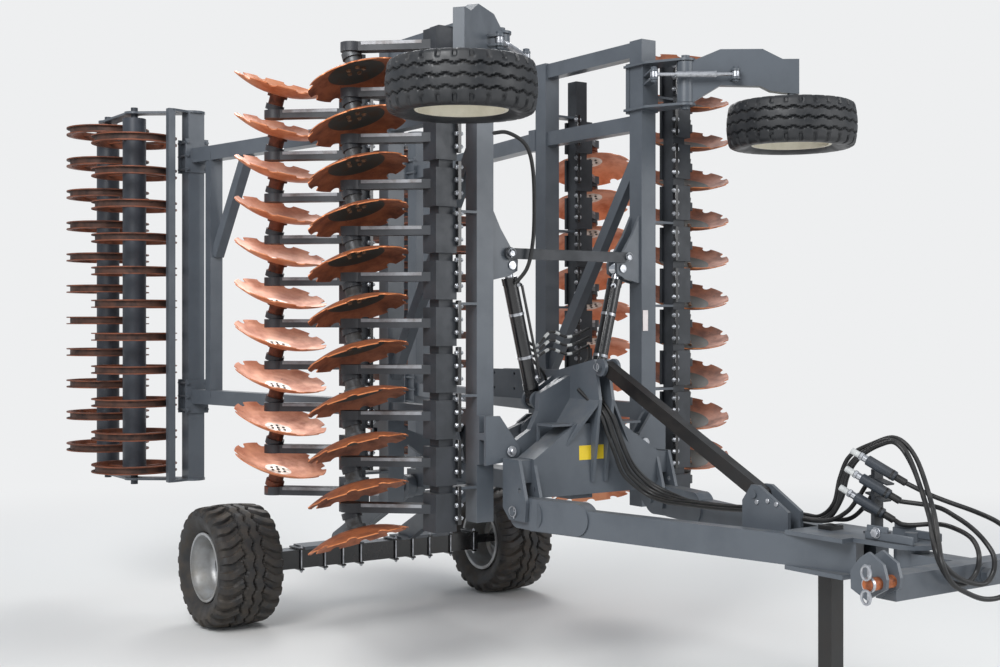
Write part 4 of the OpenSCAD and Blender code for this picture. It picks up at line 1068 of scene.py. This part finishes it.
@dataclass
class Casting:
    """Gives the CAD nodes their materials and soft edges."""

    finishes: Finishes
    edge: float = 0.0025
    disc_flat: float = 0.075
    disc_rim: float = 0.2
    hub_reach: float = 0.066
    hub_back: float = 0.2
    pin_reach: float = 0.0265

    def dress(self, node: str, finish: str, edge: float | None = None) -> None:
        """Gives a node one material and a small bevel.

        Args:
            node: The CAD node.
            finish: The name of its material.
            edge: The bevel's width, or None for the usual one.
        """
        obj = NODES[node]
        obj.data.materials.clear()
        obj.data.materials.append(self.finishes[finish])
        for polygon in obj.data.polygons:
            polygon.material_index = 0
        width = self.edge if edge is None else edge
        if width > 0:
            bevel = obj.modifiers.new("edge", "BEVEL")
            bevel.width = width
            bevel.segments = 2
            bevel.limit_method = "ANGLE"
            bevel.angle_limit = math.radians(40)
            bevel.harden_normals = True

    def paint_where(self, node: str, finish: str, test: Callable[[Vector, Vector], bool]) -> None:
        """Gives a material to the faces of a node that pass a test.

        Args:
            node: The CAD node.
            finish: The name of the material.
            test: Tells from a face's centre and normal, in the machine's frame.
        """
        obj = NODES[node]
        obj.data.materials.append(self.finishes[finish])
        slot = len(obj.data.materials) - 1
        turn = obj.matrix_world.to_3x3()
        for polygon in obj.data.polygons:
            if test(obj.matrix_world @ polygon.center, turn @ polygon.normal):
                polygon.material_index = slot

    def discs(self, side: Side, row: Row) -> None:
        """Marks the discs' edges or centres, and the hubs behind them.

        Args:
            side: Which wing.
            row: Which row of discs.
        """
        back = [row.disc(side, i).inverted() for i in range(row.count)]

        def nearest(point: Vector) -> Matrix:
            """The way into the nearest disc's own frame."""
            return min(back, key=lambda m: (m @ point).length)

        def in_centre(point: Vector, _: Vector) -> bool:
            """Whether it lies in a disc's flat centre."""
            seen = nearest(point) @ point
            return math.hypot(seen.x, seen.y) < self.disc_flat

        def in_hub(point: Vector, _: Vector) -> bool:
            """Whether it lies on a hub."""
            seen = nearest(point) @ point
            return math.hypot(seen.x, seen.y) < self.hub_reach and -self.hub_back < seen.z < -self.hub_reach

        def on_edge(point: Vector, normal: Vector) -> bool:
            """Whether it lies on the cut edge of the rim or of a notch."""
            frame_of = nearest(point)
            seen = frame_of @ point
            return math.hypot(seen.x, seen.y) > self.disc_rim and abs((frame_of.to_3x3() @ normal).z) < 0.5

        if row.name == "front":
            self.paint_where(f"front_discs_{side.tag}", "disc_edge", on_edge)
            self.paint_where(f"front_gang_{side.tag}", "hub_grey", in_hub)
        else:
            # The rear discs' pale centres are bare metal with a painted highlight.
            self.paint_where(f"rear_discs_{side.tag}", "disc_centre", in_centre)
            self.paint_where(f"rear_gang_{side.tag}", "hub_rust", in_hub)

    def roller(self, side: Side, roller: Roller) -> None:
        """Marks a roller's tube and the inside of its channel rings.

        Args:
            side: Which wing.
            roller: Which of its rollers.
        """
        axis_x = FRONT_TUBE_X - roller.back
        axis_y = side.value * (HINGE_Y + roller.up)

        def reach(point: Vector) -> float:
            """The distance from the roller's axis."""
            return math.hypot(point.x - axis_x, point.y - axis_y)

        def in_tube(point: Vector, _: Vector) -> bool:
            """Whether it lies on the tube."""
            return reach(point) < roller.tube_reach

        def in_channel(point: Vector, _: Vector) -> bool:
            """Whether it lies inside a ring's channel."""
            along = (point.z - HINGE_Z - roller.first + roller.pitch / 2) % roller.pitch - roller.pitch / 2
            return abs(along) < roller.channel_half and reach(point) > roller.radius - roller.channel_wall

        self.paint_where(f"roller_{roller.name}_{side.tag}", "ring_inside", in_channel)
        self.paint_where(f"roller_{roller.name}_{side.tag}", "tube_blue", in_tube)

    def build(self) -> None:
        """Dresses every node."""
        plain = {
            "center_frame": "paint", "headstock": "paint", "drawbar": "paint", "top_link": "leg_black",
            "hose_holder": "dark_paint", "carriage": "paint", "axle": "gloss_black",
            "lift_barrel": "gloss_black", "lift_rod": "chrome", "stand_leg": "leg_black",
            "hitch_yoke": "paint", "lock_bar": "dark_paint",
        }
        paired = {
            "tyre": "tyre_rubber", "rim": "rim_silver", "fold_barrel": "gloss_black", "fold_rod": "chrome",
            "wing_frame": "paint", "front_gang": "dark_paint", "rear_gang": "dark_paint",
            # The rear discs' material is rust with a painted highlight of the sky on it.
            "front_discs": "disc_rust", "rear_discs": "rear_disc", "roller_frame": "paint",
            "roller_front": "ring_rust", "roller_rear": "ring_rust", "gauge_arm": "paint",
            "turnbuckle": "zinc", "gauge_tyre": "gauge_rubber", "gauge_rim": "rim_cream",
        }
        for node, finish in plain.items():
            self.dress(node, finish)
        for stem, finish in paired.items():
            for side in Side:
                self.dress(f"{stem}_{side.tag}", finish, 0.0 if stem.endswith("discs") else None)
        pin_x, _, pin_z = HITCH_PIN_END
        self.paint_where(
            "hitch_yoke", "pin_rust",
            lambda p, _: math.hypot(p.x - pin_x, p.z - pin_z) < self.pin_reach and abs(p.y) > 0.5)
        for side in Side:
            for row in ROWS:
                self.discs(side, row)
            for roller in ROLLERS:
                self.roller(side, roller)
        LOG.info("%d nodes dressed", len(NODES))


# Details


@dataclass
class DiscDetails:
    """The bolts in the discs' hollows, the bolted strips of the clamps and the painted highlights along the arms'
    upper edges.
    """

    finishes: Finishes
    hollow: tuple[tuple[float, float], ...] = (
        (0.0, -0.064), (0.062, -0.064), (0.0983, -0.06096), (0.1347, -0.05411), (0.158, -0.0479))
    bolt_level: float = -0.0635
    strip_low: Point = (0.066, -0.122, -0.3125)
    strip_high: Point = (0.094, 0.084, -0.2905)
    strip_bolts: tuple[float, ...] = (-0.09, -0.02, 0.05)
    strip_middle: float = 0.081
    arm_start: Point = (-0.02, 0.0, -0.405)
    arm_way: Point = (-0.305, 0.0, -0.325)

    def circle(self, place: Matrix, count: int, radius: float) -> list[Matrix]:
        """The places of a disc's centre bolts, on the hollow's flat floor."""
        turns = (2 * math.pi * (i + 0.25) / count for i in range(count))
        return [place @ Matrix.Translation((radius * math.cos(a), radius * math.sin(a), self.bolt_level))
                for a in turns]

    def front_centre(self, mesh: MeshBuilder, place: Matrix) -> None:
        """Adds a front disc's dark centre with its five bolts.

        Args:
            mesh: The mesh being built.
            place: The disc's place.
        """
        skin = [(r, z + 0.0009) for r, z in self.hollow] + [(r, z - 0.001) for r, z in reversed(self.hollow)]
        mesh.lathe(skin, 48, "centre_dark", place, closed=False)
        for spot in self.circle(place, 5, 0.046):
            mesh.bolt(0.0125, spot, "bolt_rust")

    def rear_centre(self, mesh: MeshBuilder, place: Matrix) -> None:
        """Adds the dark holes in a rear disc's centre."""
        for spot in self.circle(place, 6, 0.042):
            mesh.cylinder(0.0085, 0.0, 0.004, "centre_dark", spot, 12)
        mesh.cylinder(0.010, self.bolt_level, -0.059, "centre_dark", place, 16)

    def strip(self, mesh: MeshBuilder, place: Matrix) -> None:
        """Adds a clamp's flange strip with its three bolts.

        Args:
            mesh: The mesh being built.
            place: The module's place.
        """
        mesh.block(self.strip_low, self.strip_high, "gloss_black", place)
        under = Matrix.Rotation(math.pi, 4, "X")
        for along in self.strip_bolts:
            top = Matrix.Translation((self.strip_middle, along, self.strip_high[2]))
            low = Matrix.Translation((self.strip_middle, along, self.strip_low[2]))
            mesh.bolt(0.013, place @ top, stud=0.006)
            mesh.bolt(0.013, place @ low @ under)

    def sheen(self, mesh: MeshBuilder, place: Matrix, up: int) -> None:
        """Adds a painted highlight along an arm's upper edge, a pale strip that stands in for the sky's reflection on
        its flange.

        Args:
            mesh: The mesh being built.
            place: The module's place.
            up: 1 where the module's Y looks up on the folded wing, else -1.
        """
        x, _, z = Vector(self.arm_way).normalized()
        arm = Matrix((
            (x, 0, -z, self.arm_start[0]),
            (0, up, 0, self.arm_start[1]),
            (z, 0, x, self.arm_start[2]),
            (0, 0, 0, 1),
        ))
        mesh.block((0.05, 0.006, 0.0418), (0.385, 0.0243, 0.0432), "arm_sheen", place @ arm, 0.0005)

    def row(self, side: Side, row: Row) -> None:
        """Makes the details of one row.

        Args:
            side: Which wing.
            row: Which row of discs.
        """
        bolts = MeshBuilder(f"{row.name}_disc_bolts_{side.tag}", self.finishes)
        strips = MeshBuilder(f"{row.name}_clamp_strips_{side.tag}", self.finishes)
        centre = self.front_centre if row.name == "front" else self.rear_centre
        for i in range(row.count):
            centre(bolts, row.disc(side, i))
            # An innermost strip that isn't turned would meet the centre frame with the wing down.
            if i > 0 or row.turned(side):
                self.strip(strips, row.module(side, i))
            # Each arm gets its painted highlight, a pale strip along its upper edge.
            self.sheen(strips, row.module(side, i), -1 if row.turned(side) else 1)
        bolts.build(f"wing_{side.tag}")
        strips.build(f"wing_{side.tag}")

    def build(self) -> None:
        """Makes the details of all four rows."""
        for side in Side:
            for row in ROWS:
                self.row(side, row)


@dataclass
class FoldPipes:
    """The port pipes and clips of the fold cylinders."""

    finishes: Finishes
    foot: Point = (0.69, 0.215, 1.556)
    axis: Point = (0.0, 0.23769, 0.97134)
    pipe_side: Point = (0.75, -0.64, 0.16)
    route: tuple[tuple[float, float], ...] = (
        (0.12, 0.040), (0.12, 0.066), (0.16, 0.064), (0.60, 0.064), (0.655, 0.062), (0.665, 0.040))
    ports: tuple[float, ...] = (0.12, 0.665)
    clips: tuple[float, ...] = (0.25, 0.5)

    def build(self) -> None:
        """Makes the pipe, its nuts and the clips of both cylinders."""
        for side in Side:
            mesh = MeshBuilder(f"fold_pipe_{side.tag}", self.finishes)
            foot, along = Vector(sided(side, self.foot)), Vector(sided(side, self.axis))
            out = Vector(sided(side, self.pipe_side)).normalized()
            mesh.tube(curve([foot + along * way + out * away for way, away in self.route], 8), 0.008, "gloss_black")
            for way in self.ports:
                mesh.hexagon(0.017, 0.036, 0.056, "zinc", facing(foot + along * way, out))
            for way in self.clips:
                mesh.band(0.0422, 0.0445, 0.008, "zinc", facing(foot + along * way, along), 40, smooth=False)
            mesh.build(f"fold_barrel_{side.tag}")


@dataclass(frozen=True)
class PinHead:
    """The round end of a pin, with its place and direction as on the left side."""

    radius: float
    height: float
    place: Point
    way: Point = AHEAD
    segments: int = 32

    def add_to(self, mesh: MeshBuilder, side: Side) -> None:
        """Adds the head on one side of the machine."""
        place = facing(sided(side, self.place), sided(side, self.way))
        mesh.cylinder(self.radius, 0.0, self.height, "zinc", place, self.segments)


@dataclass
class PinHeads:
    """Heads, linch pins and clips on the ends of the machine's pins."""

    finishes: Finishes
    wing_heads: tuple[PinHead, ...] = (
        PinHead(0.024, 0.005, (0.744, 0.400, 2.312)),
        PinHead(0.0155, 0.003, (0.777, 0.423, 2.377), segments=24),
    )
    frame_heads: tuple[PinHead, ...] = (
        PinHead(0.030, 0.004, (0.851, 0.480, 1.290)),
        PinHead(0.0185, 0.003, (0.965, 0.556, 0.972), OUTWARD, 24),
        PinHead(0.021, 0.005, (0.748, 0.215, 1.556)),
    )
    link_heads: tuple[PinHead, ...] = (
        PinHead(0.012, 0.005, (2.28, 0.0525, 1.13), OUTWARD, 24),
        PinHead(0.012, 0.005, (2.352, 0.0525, 1.142), OUTWARD, 24),
        PinHead(0.012, 0.005, (2.407, 0.0525, 1.132), OUTWARD, 24),
    )

    @staticmethod
    def linch(mesh: MeshBuilder, place: Matrix, size: float) -> None:
        """Adds a linch pin with its ring round a pin's end.

        Args:
            mesh: The mesh being built.
            place: The pin's end face, with Z out of it.
            size: The ring's radius.
        """
        mesh.cylinder(size * 0.16, -size, size, "zinc", place @ Z_ALONG_Y, 12)
        ring = oval(place, (0.0, size * 0.25, size * 0.3), size, size * 0.9, 24)
        mesh.tube(ring, size * 0.09, "zinc", 8, closed=True)

    def wing(self, side: Side) -> None:
        """Makes the heads and the linch pin of a wing's pins.

        Args:
            side: Which wing.
        """
        mesh = MeshBuilder(f"wing_pin_heads_{side.tag}", self.finishes)
        for head in self.wing_heads:
            head.add_to(mesh, side)
        self.linch(mesh, facing(sided(side, (0.770, 0.423, 2.377)), AHEAD), 0.024)
        mesh.build(f"wing_{side.tag}")

    def chassis(self) -> None:
        """Makes the heads, bolts and linch pins of the centre frame and the drawbar."""
        mesh = MeshBuilder("frame_pin_heads", self.finishes)
        for side in Side:
            for head in self.frame_heads:
                head.add_to(mesh, side)
            mesh.bolt(0.016, facing(sided(side, (0.855, 0.480, 1.290)), AHEAD))
            self.linch(mesh, facing(sided(side, (0.965, 0.548, 0.972)), sided(side, OUTWARD)), 0.030)
        for head in self.link_heads:
            head.add_to(mesh, Side.RIGHT)
        self.linch(mesh, facing((1.09, -0.075, 1.745), sided(Side.RIGHT, OUTWARD)), 0.022)
        mesh.build("chassis")

    def hitch(self, side: Side) -> None:
        """Makes the collar, rings and cross pin on a lower link pin's end.

        Args:
            side: Which lower link pin.
        """
        mesh = MeshBuilder(f"hitch_clip_{side.tag}", self.finishes)
        end = facing(sided(side, HITCH_PIN_END), sided(side, OUTWARD))
        mesh.band(0.0256, 0.031, 0.006, "zinc", end, 32)
        for way in (-1, 1):
            mesh.tube(oval(end, (0.0, way * 0.047, 0.016), 0.022, 0.027, 20), 0.0055, "zinc", 8, closed=True)
        mesh.cylinder(0.0075, -0.075, 0.075, "zinc", end @ Z_ALONG_Y, 12)
        mesh.build("hitch")

    def build(self) -> None:
        """Makes them on the wings, the chassis and the hitch."""
        for side in Side:
            self.wing(side)
        self.chassis()
        for side in Side:
            self.hitch(side)


@dataclass
class NoseBracket:
    """Two upright flanges on the drawbar's nose, each with a bolt."""

    finishes: Finishes
    inner: float = 0.086
    outer: float = 0.098

    def build(self) -> None:
        """Makes both flanges."""
        mesh = MeshBuilder("nose_bracket", self.finishes)
        for side in Side:
            low, high = sorted((side.value * self.inner, side.value * self.outer))
            mesh.block((2.975, low, 1.0455), (3.235, high, 1.082), "paint", chamfer=0.003)
            mesh.block((2.985, low, 1.080), (3.10, high, 1.108), "paint", chamfer=0.003)
            mesh.bolt(0.022, facing(sided(side, (3.04, self.outer, 1.078)), sided(side, OUTWARD)))
        mesh.build("chassis")


@dataclass
class AxleClamps:
    """The clamp straps above and below the transport axle, with their bolts."""

    finishes: Finishes
    axle_x: float = FRONT_TUBE_X - 2.2
    axle_z: float = 0.4
    axle_half: float = 0.0625
    reaches: tuple[float, ...] = (0.14, 0.28, 0.42, 0.60, 0.80)
    strap_gap: float = 0.0003
    strap_top: float = 0.012
    strap_half: float = 0.018
    bolt_ahead: float = 0.0745

    def build(self) -> None:
        """Makes all the clamps."""
        mesh = MeshBuilder("axle_clamps", self.finishes)
        x, z, half = self.axle_x, self.axle_z, self.axle_half
        for side in Side:
            for reach in self.reaches:
                y = side.value * reach
                for way in (-1, 1):
                    low, high = sorted((way * (half + self.strap_gap), way * (half + self.strap_top)))
                    mesh.block((x - 0.075, y - self.strap_half, z + low),
                               (x + 0.088, y + self.strap_half, z + high), "gloss_black")
                    face = (x + self.bolt_ahead, y, z + way * (half + self.strap_top))
                    mesh.bolt(0.012, facing(face, (0, 0, way)), stud=0.006)
                shank = Matrix.Translation((x + self.bolt_ahead, y, z))
                mesh.cylinder(0.006, -half - 0.004, half + 0.004, "zinc", shank, 12)
        mesh.build("carriage")


HOSE_ENDS: tuple[tuple[Point, ...], ...] = (
    ((2.40, 0.12, 1.072), (2.522, 0.12, 1.076), (2.608, 0.12, 1.147), (2.644, 0.12, 1.267),
     (2.704, 0.12, 1.374), (2.833, 0.12, 1.439), (2.977, 0.11, 1.476), (3.102, 0.09, 1.397),
     (3.31, -0.069, 1.225), (3.49, -0.263, 1.126), (3.565, -0.336, 1.047), (3.59, -0.307, 0.966),
     (3.6, -0.226, 0.919), (3.61, -0.125, 0.885), (3.63, -0.036, 0.891), (3.65, 0.021, 0.944),
     (3.65, 0.048, 1.03), (3.6, 0.073, 1.111), (3.5, 0.121, 1.156), (3.36, 0.159, 1.184),
     (3.23, 0.152, 1.212), (3.14, 0.128, 1.24), (3.05, 0.085, 1.284)),
    ((2.414, 0.1, 1.061), (2.552, 0.1, 1.067), (2.65, 0.1, 1.143), (2.68, 0.1, 1.253),
     (2.728, 0.1, 1.345), (2.827, 0.1, 1.416), (2.96, 0.09, 1.467), (3.075, 0.07, 1.41),
     (3.3, -0.082, 1.196), (3.48, -0.281, 1.119), (3.545, -0.316, 1.051), (3.565, -0.267, 0.993),
     (3.57, -0.179, 0.953), (3.575, -0.083, 0.936), (3.58, -0.031, 0.975), (3.575, -0.018, 1.038),
     (3.53, -0.008, 1.089), (3.44, 0.029, 1.132), (3.32, 0.077, 1.165), (3.18, 0.126, 1.189),
     (3.02, 0.083, 1.20)),
    ((2.433, 0.08, 1.06), (2.595, 0.08, 1.07), (2.686, 0.08, 1.172), (2.727, 0.08, 1.291),
     (2.798, 0.08, 1.379), (2.912, 0.08, 1.442), (3.015, 0.07, 1.454), (3.115, 0.06, 1.348),
     (3.33, -0.101, 1.159), (3.49, -0.288, 1.1), (3.535, -0.309, 1.033), (3.54, -0.247, 0.96),
     (3.545, -0.165, 0.94), (3.55, -0.101, 0.978), (3.55, -0.081, 1.049), (3.46, -0.004, 1.096),
     (3.33, 0.064, 1.116), (3.19, 0.119, 1.116), (3.06, 0.075, 1.10), (2.985, 0.083, 1.115)),
    ((2.42, 0.14, 1.06), (2.60, 0.13, 1.068), (2.72, 0.11, 1.09), (2.82, 0.09, 1.16), (2.90, 0.07, 1.25)),
    ((2.43, 0.06, 1.06), (2.62, 0.06, 1.07), (2.733, 0.06, 1.121), (2.80, 0.06, 1.19), (2.88, 0.06, 1.30)),
)
WING_HOSE: tuple[Point, ...] = (
    (0.745, -0.54, 3.035), (0.785, -0.46, 3.04), (0.80, -0.35, 2.98), (0.80, -0.30, 2.85),
    (0.80, -0.29, 2.62), (0.80, -0.30, 2.44), (0.79, -0.33, 2.30), (0.745, -0.38, 2.21),
)
CYLINDER_STUB: tuple[Point, ...] = ((0.60, 0.26, 1.85), (0.66, 0.20, 1.78), (0.66, 0.12, 1.70), (0.62, 0.06, 1.62))


@dataclass
class Hoses:
    """The hoses along the drawbar, between the fold cylinders and on the right wing."""

    finishes: Finishes
    radius: float = 0.0105
    spacing: float = 0.022
    stagger: float = 0.012
    nose_x: float = 3.0
    bend_start: Point = (3.12, 0.0, 1.1)
    bend_end: Point = (3.44, 0.0, 1.1)

    def start(self, index: int) -> list[Point]:
        """The knots from the hood down the front plate and along the drawbar.

        Args:
            index: The hose's number in the bundle.

        Returns:
            The knots, up to where the hoses part.
        """
        o = (index - 2) * self.spacing
        lift = self.stagger * (index % 2)
        return [
            (0.93 + o * 0.5, -0.02 + o, 1.62), (1.055 + lift, 0.01 + o, 1.50), (1.085 + lift, 0.045 + o, 1.38),
            (1.10 + lift, 0.085 + o, 1.27), (1.09 + lift, 0.16 + o, 1.16 + o * 0.4),
            (1.13 + lift, 0.26 + o * 0.6, 1.065 + o * 0.6), (1.28, 0.29 + o, 1.02 + o * 0.3),
            (1.52, 0.25 + o, 1.015 + lift), (1.85, 0.17 + o * 0.8, 1.035 + lift),
            (2.15, 0.12 + o * 0.5, 1.06 + lift),
        ]

    def bundle(self, mesh: MeshBuilder, loops: MeshBuilder) -> None:
        """Lays the hoses along the drawbar.

        Args:
            mesh: The mesh of the hoses up to the nose.
            loops: The mesh of the loops that hang at the hitch beam.
        """
        for i, end in enumerate(HOSE_ENDS):
            path = curve([*self.start(i), *end], 8)
            last = len(path) - 1
            split = next((k for k, point in enumerate(path) if point[0] > self.nose_x), last)
            mesh.tube(path[:split + 1], self.radius, "hose_rubber")
            if split < last:
                loops.tube(path[split:], self.radius, "hose_rubber")

    def across(self, mesh: MeshBuilder) -> None:
        """Hangs the white-banded hoses between the fold cylinders.

        Args:
            mesh: The mesh being built.
        """
        for i in range(3):
            z = 1.83 + 0.05 * i
            knots = [(0.60, -0.26, z + 0.02), (0.58, -0.12, z - 0.03 - 0.02 * i), (0.57, 0.0, z + 0.01),
                     (0.58, 0.12, z - 0.02), (0.60, 0.26, z + 0.03)]
            path = curve(knots, 12)
            mesh.tube(path, 0.008, "hose_rubber")
            for k in range(3, len(path) - 6, 8):
                mesh.tube(path[k:k + 4], 0.0095, "hose_white")
        for side in Side:
            mesh.tube(curve([sided(side, knot) for knot in CYLINDER_STUB], 8), 0.009, "hose_rubber")

    def build(self) -> None:
        """Makes the hoses of the chassis, of the hitch and of the wing."""
        hoses = MeshBuilder("hydraulic_hoses", self.finishes)
        loops = MeshBuilder("hitch_hose_loops", self.finishes)
        self.bundle(hoses, loops)
        self.across(hoses)
        hoses.build("chassis")
        loops.build_bent("chassis", "hitch")
        wing = MeshBuilder("wing_hose", self.finishes)
        wing.tube(curve([*WING_HOSE]), 0.011, "hose_rubber", 12)
        wing.build("wing_right")


@dataclass
class Couplings:
    """The couplings parked in the hose holder."""

    finishes: Finishes
    places: tuple[Point, ...] = ((2.959, 0.03, 1.345), (2.926, 0.03, 1.262), (2.892, 0.03, 1.174))
    way: Point = (-0.75, -0.45, 0.50)

    def build(self) -> None:
        """Makes each of a grip, its band, the hose's sleeve, a collar, a nut and a white plug."""
        mesh = MeshBuilder("parked_couplings", self.finishes)
        for place in self.places:
            body = facing(place, Vector(self.way).normalized())
            mesh.cylinder(0.0235, -0.075, 0.07, "grip_plastic", body, 28, 0.004)
            mesh.cylinder(0.0245, -0.06, -0.05, "gloss_black", body, 28)
            mesh.cylinder(0.0165, -0.125, -0.075, "hose_rubber", body, 20, 0.002)
            mesh.cylinder(0.016, 0.07, 0.09, "zinc", body)
            mesh.hexagon(0.0195, 0.09, 0.106, "zinc", body)
            mesh.cylinder(0.0145, 0.106, 0.15, "hose_white", body, chamfer=0.003)
        mesh.build("chassis")


@dataclass
class Labels:
    """The blank label of the headstock and the blank sticker of the left wing."""

    finishes: Finishes

    def build(self) -> None:
        """Makes both."""
        label = MeshBuilder("blank_labels", self.finishes)
        label.block((1.0095, -0.137, 1.235), (1.0115, 0.062, 1.314), "label_yellow", chamfer=0.0005)
        label.build("chassis")
        sticker = MeshBuilder("blank_sticker", self.finishes)
        sticker.block((0.7595, 0.540, 1.945), (0.7612, 0.580, 2.068), "label_pale", chamfer=0.0004)
        sticker.build("wing_left")


def main() -> None:
    """Builds the studio, the finishes and every piece in order."""
    logging.basicConfig(level=logging.INFO, format="%(message)s")
    Studio().build()
    finishes = Finishes(Shaders())
    for part in (Casting, Wheels, DiscDetails, FoldPipes, PinHeads, NoseBracket, AxleClamps, Hoses, Couplings, Labels):
        part(finishes).build()


if __name__ == "__main__":
    main()
